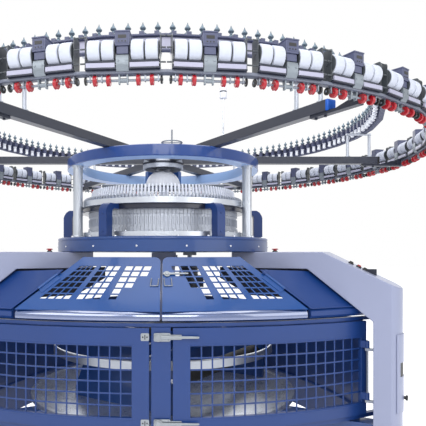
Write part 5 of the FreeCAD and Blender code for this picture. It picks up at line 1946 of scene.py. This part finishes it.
    def idlers(self) -> Draft:
        """Black discs beside the gap between bays."""
        disc = Draft().lathe([(4, -4), (13, -4), (15, -2), (15, 2), (13, 4), (4, 4)], 20).laid()
        return Draft().join(*[disc.moved(x, 0.0, self.wheel_z) for x in (-140.0, 140.0)])

    def shaft(self) -> Draft:
        """Grey shaft through a bay's wheels."""
        return Draft().bar(4.6, 0.0, self.wheel_z, -146.0, 146.0, 12, 1.0)

    def hangers(self) -> Draft:
        """Small hangers from the rail to the wheel shaft.

        Returns:
            Those of one bay.
        """
        draft = Draft()
        for x in (-self.pair - 2.5, -126.0, self.pair - 2.5, 126.0):
            draft.box(x, x + 5.0, -7.0, 7.0, self.wheel_z - 6.0, self.rail_low + 1.0)
        return draft

    def band(self) -> Draft:
        """Straight rail of a bay with eased edges."""
        low, high = self.apothem - self.rail_half, self.apothem + self.rail_half
        return Draft().bay(eased(low, high, self.rail_low, self.rail_top, 2.0, 2), self.bays)

    def build(self) -> None:
        """Make the outer ring."""
        band = self.band().around(evenly(self.bays, self.phase))
        units, hangers = self.placed(self.unit()), self.placed(self.hangers())
        MAKER.piece("outer_rail_band", band, Look.RAIL, "outer_rail")
        MAKER.piece("packages", self.placed(self.packages()), Look.YARN, "yarn_packages")
        MAKER.piece("package_discs", self.placed(self.discs()), Look.DISC)
        MAKER.piece("bay_rollers", self.placed(self.rollers()), Look.DARK, "bay_modules")
        MAKER.piece("bay_trays", self.placed(self.trays()), Look.TRAY, bevel=0.8)
        MAKER.piece("bay_end_plates", self.placed(self.posts()), Look.DISC, bevel=0.5)
        MAKER.piece("bay_clamps", self.placed(self.clamp()), Look.CLAMP, bevel=1.5)
        MAKER.piece("drive_housings", units, Look.SLATE, "drive_units", bevel=1.5)
        MAKER.piece("drive_displays", self.placed(self.display()), Look.BLACK)
        MAKER.piece("red_wheels", self.placed(self.wheels()), Look.RED, "yarn_wheels")
        MAKER.piece("idler_discs", self.placed(self.idlers()), Look.BLACK)
        MAKER.piece("wheel_shafts", self.placed(self.shaft()), Look.GREY_STEEL)
        MAKER.piece("wheel_hangers", hangers, Look.GREY_STEEL, bevel=0.6)


@dataclass
class InnerRing:
    """Inner rail with its yarn feeders, and the posts and brackets that carry both rings.

    The pieces of a feeder are drawn about its own upright axis and moved to it.
    """

    bays: int = 34
    phase: float = 6.33
    low: float = 2045.0
    top: float = 2115.0
    inner: float = 1406.0
    outer: float = 1433.0
    feeder_inset: float = 26.0
    spike_top: float = 2186.5
    places_per_bay: int = 4
    pitch: float = 64.0
    strut_radii: Pair = (1300.0, 1452.0)
    bay_edge: float = 1669.0

    def rail(self) -> Draft:
        """Straight channel of a bay.

        Returns:
            The channel.
        """
        low, top, inner, outer = self.low, self.top, self.inner, self.outer
        section = [
            (inner, low), (outer, low), (outer, low + 6), (inner + 8, low + 6),
            (inner + 8, top - 6), (outer, top - 6), (outer, top), (inner, top),
        ]
        return Draft().bay(section, self.bays)

    def lining(self, near: float, far: float, low: float, high: float) -> Draft:
        """Strip along a bay's rail, between two distances outside its inner face."""
        r0, r1 = self.inner + near, self.inner + far
        return Draft().bay([(r0, low), (r1, low), (r1, high), (r0, high)], self.bays)

    def housing(self) -> Draft:
        """One feeder's housing with its arm over the rail.

        Returns:
            The housing.
        """
        draft = Draft().box(-13.0, 13.0, -20.0, 16.0, 2086.0, 2116.0)
        draft.box(-10.0, 10.0, self.inner - self.outer - 24.0, -16.0, 2115.5, 2128.0)
        loops = []
        for z, half, reach in ((2116, 17, 16), (2121, 17, 16), (2124, 9, 9), (2136, 8, 8)):
            outline = ((-half, -reach), (half, -reach), (half, reach), (-half, reach))
            loops.append([(x, y, z) for x, y in outline])
        return draft.loft(loops)

    def spike(self) -> Draft:
        """One feeder's stepped intake with its pointed tip.

        Returns:
            The intake.
        """
        profile = [
            (0, 2130), (15, 2130), (16.5, 2132), (16.5, 2137), (9, 2143), (6, 2148), (6, 2152),
            (12.5, 2158), (13.5, 2161), (12, 2165), (5.5, 2174), (2.5, 2181),
            (1.2, self.spike_top), (0, self.spike_top),
        ]
        return Draft().lathe(profile, 14)

    def drum(self) -> Draft:
        """One feeder's storage drum under its housing.

        Returns:
            The drum.
        """
        profile = [
            (0, 2046), (8, 2046), (14, 2051), (11.5, 2056), (11.5, 2078), (14, 2084), (14, 2087),
            (0, 2087),
        ]
        return Draft().lathe(profile, 16)

    def placed(self, draft: Draft) -> Draft:
        """Put one feeder's piece at every feeder.

        Args:
            draft: the piece, about the feeder's axis.

        Returns:
            All copies.
        """
        middle = (self.places_per_bay - 1) / 2
        xs = [self.pitch * (place - middle) for place in range(self.places_per_bay)]
        bay = Draft().join(*[draft.moved(x, self.feeder_inset - self.inner, 0.0) for x in xs])
        return bay.around(evenly(self.bays, self.phase))

    def struts(self) -> Draft:
        """Round posts on an arm with their collars.

        Returns:
            Both posts and the bar over them.
        """
        post = [(0, 1880), (19, 1880), (19, 1886), (10, 1889), (10, 2030), (15, 2033), (0, 2033)]
        draft = Draft()
        for radius in self.strut_radii:
            draft.lathe(post, 24, (0.0, -radius, 0.0))
        near, far = self.strut_radii[0] - 10.0, self.strut_radii[1] + 10.0
        return draft.slab(eased(-10.0, 10.0, 2033.0, 2045.0, 2.0, 2), -near, -far)

    def brackets(self) -> Draft:
        """Bracket under an arm's end, out to the bays, with its gusset.

        Returns:
            The bracket and its bolts.
        """
        edge = self.bay_edge
        draft = Draft().box(-18.0, 18.0, -edge, -1402.0, 1816.0, 1830.0)
        draft.box(-18.0, 18.0, -edge, -edge + 28.0, 1829.0, 1863.0)
        draft.plate([(1520, 1830), (edge - 27, 1830), (edge - 27, 1860)], -4.0, 4.0)
        for radius in (1425.0, 1480.0):
            draft.post(7.0, 0.0, -radius, 1816.5, 1809.0, 6, 1.0)
        return draft

    def build(self) -> None:
        """Make the inner ring and the supports of both."""
        places = evenly(self.bays, self.phase)
        belt, strip = self.lining(-0.5, -4.0, 2108.0, 2119.0), self.lining(7, 10, 2054, 2106)
        housings, brackets = self.placed(self.housing()), self.brackets().around(ARMS)
        MAKER.piece("inner_rail_channel", self.rail().around(places), Look.SLATE, "inner_rail")
        MAKER.piece("feeder_belt", belt.around(places), Look.BLACK)
        MAKER.piece("feeder_housings", housings, Look.SLATE, "yarn_feeders", bevel=1.0)
        MAKER.piece("feeder_intakes", self.placed(self.spike()), Look.INTAKE)
        MAKER.piece("inner_rail_strip", strip.around(places), Look.TRAY)
        MAKER.piece("feeder_drums", self.placed(self.drum()), Look.WHITE)
        MAKER.piece("ring_struts", self.struts().around(ARMS), Look.ALLOY, "ring_supports")
        MAKER.piece("ring_brackets", brackets, Look.DARK, "ring_supports", bevel=1.2)


# ---------------------------------------------------------------- base, take-down, drive, guards
@dataclass
class Base:
    """Legs, base frame, guards, take-down and winding roll."""

    foot_circle: float = 1441.5
    takedown_turn: float = 56.0
    half_width: float = 560.0
    side_plate: float = 25.0
    guard_low: float = 290.0
    guard_top: float = 818.0
    guard_end: float = 1120.0
    guard_steps: int = 64
    handle_z: float = 745.0
    disc_sides: int = 120

    def foot(self) -> Draft:
        """One levelling foot with pad, nut and stud.

        Returns:
            The foot.
        """
        y = -self.foot_circle
        pad = [(0, 0), (46, 0), (48, 2), (48, 9), (40, 15), (22, 18), (0, 18)]
        draft = Draft().lathe(pad, 40, (0.0, y, 0.0)).post(13.5, 0.0, y, 17.0, 45.0, 20)
        return draft.post(21.0, 0.0, y, 34.0, 45.0, 6, 1.0)

    def rib(self) -> Draft:
        """Deep rib under a front leg's arm, inside the guards, dark blue as painted shade seen
        through the lids' outer holes.

        Returns:
            The rib.
        """
        profile = [
            (440, 1112), (1400, 1112), (1400, 860), (1180, 905), (900, 930), (640, 935),
            (440, 1040),
        ]
        return Draft().plate(profile, -8.0, 8.0)

    def disc(self) -> Draft:
        """Round table with a rim groove and its spindle.

        Returns:
            The table.
        """
        profile = [
            (0, 128.0), (60, 128.0), (60, 262.5), (894, 262.5), (900, 266), (900, 285),
            (897, 290), (872, 290), (870, 287.5), (862, 287.5), (860, 290), (0, 290),
        ]
        return Draft().lathe(profile, self.disc_sides)

    def roller(self, radius: float, y: float, z: float, grooves: int) -> Draft:
        """Covered roller, grooved round about.

        Args:
            radius: its radius.
            y, z: its axis before the take-down is turned.
            grooves: number of bands between the grooves.

        Returns:
            The cover.
        """
        end = self.half_width - self.side_plate - 1.0
        profile = [(0, -end), (radius - 3, -end), (radius, -end + 3)]
        for groove in range(1, grooves):
            place = -end + 2 * end * groove / grooves
            profile += [(radius, place - 3), (radius - 2, place - 1.5)]
            profile += [(radius - 2, place + 1.5), (radius, place + 3)]
        profile += [(radius, end - 3), (radius - 3, end), (0, end)]
        return Draft().lathe(profile, 40).laid().moved(0.0, y, z).turned(self.takedown_turn)

    def journals(self, y: float, z: float) -> Draft:
        """Steel journals at both ends of a roller."""
        draft = Draft().bar(14.8, y, z, -self.half_width, self.half_width, 24, 1.0)
        return draft.turned(self.takedown_turn)

    def rear_guard(self) -> Draft:
        """One rear guard: curved sheet with folded edges and two beads.

        Returns:
            The guard.
        """
        low, top = self.guard_low, self.guard_top
        section = [
            (0.0, low), (0.0, top), (-25.0, top), (-25.0, top - 4), (-4.0, top - 4),
            (-4.0, low + 4), (-25.0, low + 4), (-25.0, low),
        ]
        draft = WALL.sweep(section, -self.guard_end, self.guard_end, self.guard_steps)
        for z in (430.0, 620.0):
            bead = [(-2.0, z), (3.0, z + 5.0), (3.0, z + 13.0), (-2.0, z + 18.0)]
            draft.join(WALL.sweep(bead, -1040.0, 1040.0, self.guard_steps))
        return draft

    def guard_handles(self) -> Draft:
        """Two bow handles on a rear guard.

        Returns:
            Both handles.
        """
        draft = Draft()
        for middle in (-520.0, 520.0):
            ends = [WALL.at(middle + side, self.handle_z, 26.0) for side in (-60.0, 60.0)]
            feet = [WALL.at(middle + side, self.handle_z, -2.0) for side in (-60.0, 60.0)]
            draft.rod(6.0, ends[0], ends[1], 14)
            for end, foot in zip(ends, feet):
                draft.rod(6.0, foot, end, 14, 1.0)
        return draft

    def guard_screws(self) -> Draft:
        """Screws along a rear guard's upper and lower edges.

        Returns:
            All of them.
        """
        draft = Draft()
        for step in range(9):
            x = -1040.0 + 260.0 * step
            for z in (self.guard_low + 20.0, self.guard_top - 20.0):
                draft.rod(6.0, WALL.at(x, z, -1.0), WALL.at(x, z, 2.6), 12, 0.8)
        return draft

    def build(self) -> None:
        """Make the base and everything on it."""
        for name in ("leg_front_right", "leg_rear", "leg_front_left"):
            MAKER.refined(name + "_casting", Look.LEG, name, 5.0, 28.0)
        MAKER.piece("leg_ribs_painted_shade", self.rib().around(FRONT_LEGS), Look.RIB_SHADE, bevel=1.5)
        MAKER.piece("feet", self.foot().around(LEGS), Look.GREY_STEEL, "levelling_feet")
        MAKER.refined("base_beams", Look.BED, "base_frame", 4.0)
        MAKER.refined("mounts", Look.GREY_STEEL, "drive_mounts", 1.0)
        MAKER.refined("door_rails", Look.DOOR, "front_frame", 1.5, 25.0)
        guards = self.rear_guard().around(REAR_GUARDS)
        MAKER.piece("rear_guard_sheets", guards, Look.DOOR, "rear_guards", bevel=0.8)
        section = [(-12.0, 96.0), (-12.0, 291.0), (-9.0, 291.0), (-9.0, 96.0)]
        skirt = WALL.sweep(section, -1105.0, 1105.0, self.guard_steps)
        MAKER.piece("rear_skirts", skirt.around(REAR_GUARDS), Look.DOOR)
        MAKER.piece("table", self.disc(), Look.TABLE, "bottom_disc")
        profile = [(738, 551), (752, 551), (752, 598), (749, 602), (741, 602), (738, 598)]
        hoop = Draft().lathe(profile, self.disc_sides)
        MAKER.piece("takedown_hoop", hoop, Look.SATIN, body="takedown")
        handles, screws = self.guard_handles(), self.guard_screws()
        MAKER.piece("rear_guard_handles", handles.around(REAR_GUARDS), Look.SATIN)
        MAKER.piece("rear_guard_screws", screws.around(REAR_GUARDS), Look.GREY_STEEL)
        MAKER.refined("takedown_sides", Look.BED, "takedown_frame", 3.0)
        for name, radius, y, z, grooves in (
            ("takedown_roller_front", 38.0, -38.2, 690.0, 16),
            ("takedown_roller_rear", 38.0, 38.2, 690.0, 16),
            ("winding_roll", 45.0, -450.0, 480.0, 9),
        ):
            MAKER.piece(name + "_cover", self.roller(radius, y, z, grooves), Look.RUBBER, name)
            journals = self.journals(y, z)
            MAKER.piece(name + "_journals", journals, Look.CHROME, body=BODY_OF[name])


@dataclass
class Drive:
    """Motor, pulleys, belt and drive shaft under the bed."""

    axis: Point = field(default_factory=lambda: polar(620.4, 160.0))
    spacing: float = 190.0
    pulley_z: float = 1128.0
    pulley_width: float = 34.0
    ribs: int = 13
    rib_pitch: float = 15.0

    def motor(self) -> Draft:
        """Ribbed motor with its fan cover and terminal box.

        Returns:
            The motor.
        """
        x, y = self.axis[0], self.axis[1] + self.spacing
        profile = [(0, 846), (60, 846), (72, 852), (76, 870), (76, 884)]
        for rib in range(self.ribs):
            z = 886.0 + self.rib_pitch * rib
            profile += [(78, z), (85, z + 1.5), (85, z + 5.0), (78, z + 6.5)]
        profile += [(84, 1080), (84, 1096), (0, 1096)]
        draft = Draft().lathe(profile, 48, (x, y, 0.0))
        return draft.box(x + 66, x + 125, y - 44, y + 44, 917, 1015)

    def pulley(self, radius: float, x: float, y: float) -> Draft:
        """Flanged pulley.

        Args:
            radius: its flanges' radius.
            x, y: its axis.

        Returns:
            The pulley.
        """
        low, high = self.pulley_z, self.pulley_z + self.pulley_width
        profile = [
            (0, low), (radius, low), (radius, low + 3), (radius - 3, low + 3.5),
            (radius - 3, high - 3.5), (radius, high - 3), (radius, high), (0, high),
        ]
        return Draft().lathe(profile, 48, (x, y, 0.0))

    def build(self) -> None:
        """Make the drive."""
        x, y, _ = self.axis
        far = y + self.spacing
        MAKER.piece("motor", self.motor(), Look.DARK, "drive_motor", bevel=0.8)
        small = self.pulley(40.0, x, far).post(14.0, x, far, 1096.5, 1128.5, 20)
        MAKER.piece("small_pulley", small, Look.GREY_STEEL, "motor_pulley")
        large = self.pulley(70.0, x, y).post(18.0, x, y, self.pulley_z, GEAR_TOP, 24, 1.0)
        large.join(Draft().gear(15, 60.0, 17.0).moved(x, y, 0.0))
        MAKER.piece("pinion_and_pulley", large, Look.GREY_STEEL, "drive_shaft")
        MAKER.refined("flat_belt", Look.RUBBER, "drive_belt", 0.5, 50.0)


# ---------------------------------------------------------------- controls
@dataclass
class Controls:
    """Push-buttons, their bezels and the access panel on the right leg."""

    leg: float = 60.0
    leg_face: float = 1534.0
    leg_bow: float = (100.0**2 + 45.0**2) / 90.0
    knee: float = 1120.0
    slope: float = 179.0 / 369.0
    bed_low: float = 1210.0
    radii: tuple[float, float, float] = (1261.0, 1303.0, 1337.0)
    stop_radius: float = 811.0
    panel_low: float = 336.0
    panel_top: float = 761.0
    panel_half: float = 78.0
    panel_faces: Pair = (5.6, 1.6)
    knob_z: float = 408.0

    def on_leg(self, lift: float, angle: float, z: float) -> Point:
        """Point lifted off the leg's bowed face, drawn at the front."""
        x, y, _ = polar(self.leg_bow + lift, angle)
        return (x, y - (self.leg_face - self.leg_bow), z)

    def stood(self, draft: Draft, radius: float, azimuth: float, sloping: bool) -> Draft:
        """Stand a draft on a leg's top.

        Args:
            draft: what is stood there, built up from the origin.
            radius, azimuth: its place.
            sloping: whether the leg's top slopes there.

        Returns:
            The draft in its place.
        """
        z = self.bed_low - (self.slope * (radius - self.knee) if sloping else 0.0)
        lean = math.degrees(math.atan(self.slope)) if sloping else 0.0
        return draft.tilted(lean).moved(0.0, -radius, z).turned(azimuth)

    def bezel(self) -> Draft:
        """Turned collar round a button."""
        return Draft().lathe([(11.4, 0), (16, 0), (16, 5), (14.5, 8), (11.4, 8)], 28)

    def button(self, mushroom: bool) -> Draft:
        """Push-button.

        Args:
            mushroom: whether its head is a mushroom and not dished.

        Returns:
            The button.
        """
        profile = [(0, 5.2), (10.8, 5.2), (10.8, 12.5), (9.5, 14), (0, 13.2)]
        if mushroom:
            profile = [(0, 5.2), (10.8, 5.2), (10.8, 14), (17, 14), (20, 16), (20, 18), (16, 21)]
            profile += [(8, 22), (0, 22)]
        return Draft().lathe(profile, 32)

    def panel(self) -> Draft:
        """Access panel bent to the leg's bowed face, with an opening for the pull slot.

        Returns:
            The panel.
        """
        reach = math.degrees(math.asin(self.panel_half / self.leg_bow))
        angles = [-reach + 2 * reach * step / 24 for step in range(25)]
        zs = [self.panel_low, 524.0, 530.0, 606.0, 612.0, self.panel_top]

        def place(i: int, j: int, side: int) -> Point:
            """Point of a grid line crossing on one face of the panel."""
            return self.on_leg(self.panel_faces[side], angles[i], zs[j])

        draft = Draft().holed(24, 5, lambda i, j: not (j == 2 and 4 <= i < 20), place)
        return draft.turned(self.leg)

    def slot(self) -> Draft:
        """Dark plate behind the panel's opening.

        Returns:
            The plate.
        """
        section = ((1.3, 520.0), (2.6, 520.0), (2.6, 616.0), (1.3, 616.0))
        angles = [-28.0 + 56.0 * step / 12 for step in range(13)]
        loops = [[self.on_leg(lift, angle, z) for lift, z in section] for angle in angles]
        return Draft().loft(loops).turned(self.leg)

    def knob(self) -> Draft:
        """Round knob of the panel.

        Returns:
            The knob.
        """
        front = -self.leg_face - 4.0
        draft = Draft().pin(9.0, 0.0, self.knob_z, front + 1, front - 12.0, 20)
        draft.pin(15.5, 0.0, self.knob_z, front - 10.0, front - 22.0, 28, 3.0)
        return draft.turned(self.leg)

    def build(self) -> None:
        """Make the controls."""
        bezels = Draft()
        near, mid, far = self.radii
        for name, radius, azimuth, finish, stop in (
            ("start", near, self.leg, Look.BLACK, False),
            ("halt", mid, self.leg, Look.RED, False),
            ("jog", far, self.leg, Look.BLACK, False),
            ("stop_right", self.stop_radius, self.leg, Look.RED, True),
            ("stop_left", self.stop_radius, -self.leg, Look.RED, True),
        ):
            button = self.stood(self.button(stop), radius, azimuth, not stop)
            MAKER.piece(name + "_button", button, finish, "button_" + name)
            bezels.join(self.stood(self.bezel(), radius, azimuth, not stop))
        MAKER.piece("bezels", bezels, Look.BLACK, "button_bezels")
        MAKER.piece("side_panel", self.panel(), Look.LEG, "leg_panel", bevel=0.8)
        MAKER.piece("side_panel_slot", self.slot(), Look.BLACK, body="leg_panel")
        MAKER.piece("side_panel_knob", self.knob(), Look.BLACK, body="leg_panel")


# ---------------------------------------------------------------- studio
@dataclass
class Studio:
    """Floor, lights, camera and background; its sizes are in metres."""

    lens: float = 41.96
    sensor: float = 36.0
    camera_place: Point = (0.0389, -3.5, 1.197)
    shift: Pair = (0.1043, 0.0964)
    floor_reach: float = 40.0
    floor_lift: float = 0.57
    soft_colour: tuple[float, ...] = (0.92, 0.95, 1.0, 1.0)
    soft_strength: float = 0.5
    white: tuple[float, ...] = (1.0, 1.0, 1.0, 1.0)

    def floor(self) -> None:
        """Pale floor that keeps the machine's shadow."""
        mesh = bpy.data.meshes.new("floor")
        ways = ((-1, -1), (1, -1), (1, 1), (-1, 1))
        corners = [(x * self.floor_reach, y * self.floor_reach, 0) for x, y in ways]
        mesh.from_pydata(corners, [], [(0, 1, 2, 3)])
        ground = bpy.data.objects.new("floor", mesh)
        bpy.context.scene.collection.objects.link(ground)
        pale = Look.FLOOR.material()
        wiring = Wiring(pale.node_tree)
        shader = shader_of(pale)
        shader.inputs["Emission Color"].default_value = self.white
        lift = wiring.times(wiring.background_rays(), self.floor_lift)
        wiring.join(lift, shader.inputs["Emission Strength"])
        mesh.materials.append(pale)

    def light(self, name: str, place: Point, target: Point, size: float, power: float) -> None:
        """Square area light aimed at a point.

        Args:
            name: its name.
            place: where it stands.
            target: what it is aimed at.
            size: length of its side.
            power: its power in watts.
        """
        data = bpy.data.lights.new(name, "AREA")
        data.size = size
        data.energy = power
        lamp = bpy.data.objects.new(name, data)
        lamp.location = place
        aim = Vector(target) - Vector(place)
        lamp.rotation_euler = aim.to_track_quat("-Z", "Y").to_euler()
        bpy.context.scene.collection.objects.link(lamp)

    def world(self) -> None:
        """Soft surroundings that look plain white to the camera, in gloss and through glass."""
        world = bpy.data.worlds.new("studio")
        world.use_nodes = True
        bpy.context.scene.world = world
        wiring = Wiring(world.node_tree)
        world.node_tree.nodes.clear()
        shades = []
        for colour, strength in ((self.soft_colour, self.soft_strength), (self.white, 1.0)):
            shade = wiring.node("ShaderNodeBackground")
            shade.inputs["Color"].default_value = colour
            shade.inputs["Strength"].default_value = strength
            shades.append(shade.outputs[0])
        seen = wiring.background_rays()
        mix = wiring.node("ShaderNodeMixShader")
        for place, source in enumerate((seen, *shades)):
            wiring.join(source, mix.inputs[place])
        wiring.join(mix.outputs[0], wiring.node("ShaderNodeOutputWorld").inputs["Surface"])

    def camera(self) -> None:
        """Level camera in front of the machine."""
        data = bpy.data.cameras.new("camera")
        data.lens = self.lens
        data.sensor_width = self.sensor
        data.shift_x, data.shift_y = self.shift
        eye = bpy.data.objects.new("camera", data)
        eye.location = self.camera_place
        eye.rotation_euler = (math.pi / 2, 0.0, 0.0)
        bpy.context.scene.collection.objects.link(eye)
        bpy.context.scene.camera = eye

    def build(self) -> None:
        """Set up the studio."""
        self.floor()
        self.light("key", (-3.5, -5.0, 5.0), (0.0, 0.0, 1.2), 4.0, 170.0)
        self.light("fill", (4.5, -4.0, 3.0), (0.0, 0.0, 1.2), 4.0, 90.0)
        self.light("back", (0.0, 5.0, 4.5), (0.0, 0.0, 1.5), 5.0, 180.0)
        self.light("front", (0.1, -6.2, 3.8), (0.0, -0.9, 0.9), 2.6, 120.0)
        self.light("overhead", (0.0, 0.0, 6.5), (0.0, 0.0, 0.0), 5.0, 200.0)
        self.world()
        self.camera()
        bpy.context.scene.view_settings.view_transform = "Standard"


def main() -> None:
    """Build the machine's looks and its studio."""
    logging.basicConfig(level=logging.INFO, format="%(name)s: %(message)s")
    sections = (Head, UpperFrame, OuterRing, InnerRing, Base, Drive, Doors, Lids, Controls)
    for section in sections:
        section().build()
        LOG.info("%s done, %d pieces so far", section.__name__, len(MAKER.made))
    Studio().build()


if __name__ == "__main__":
    main()
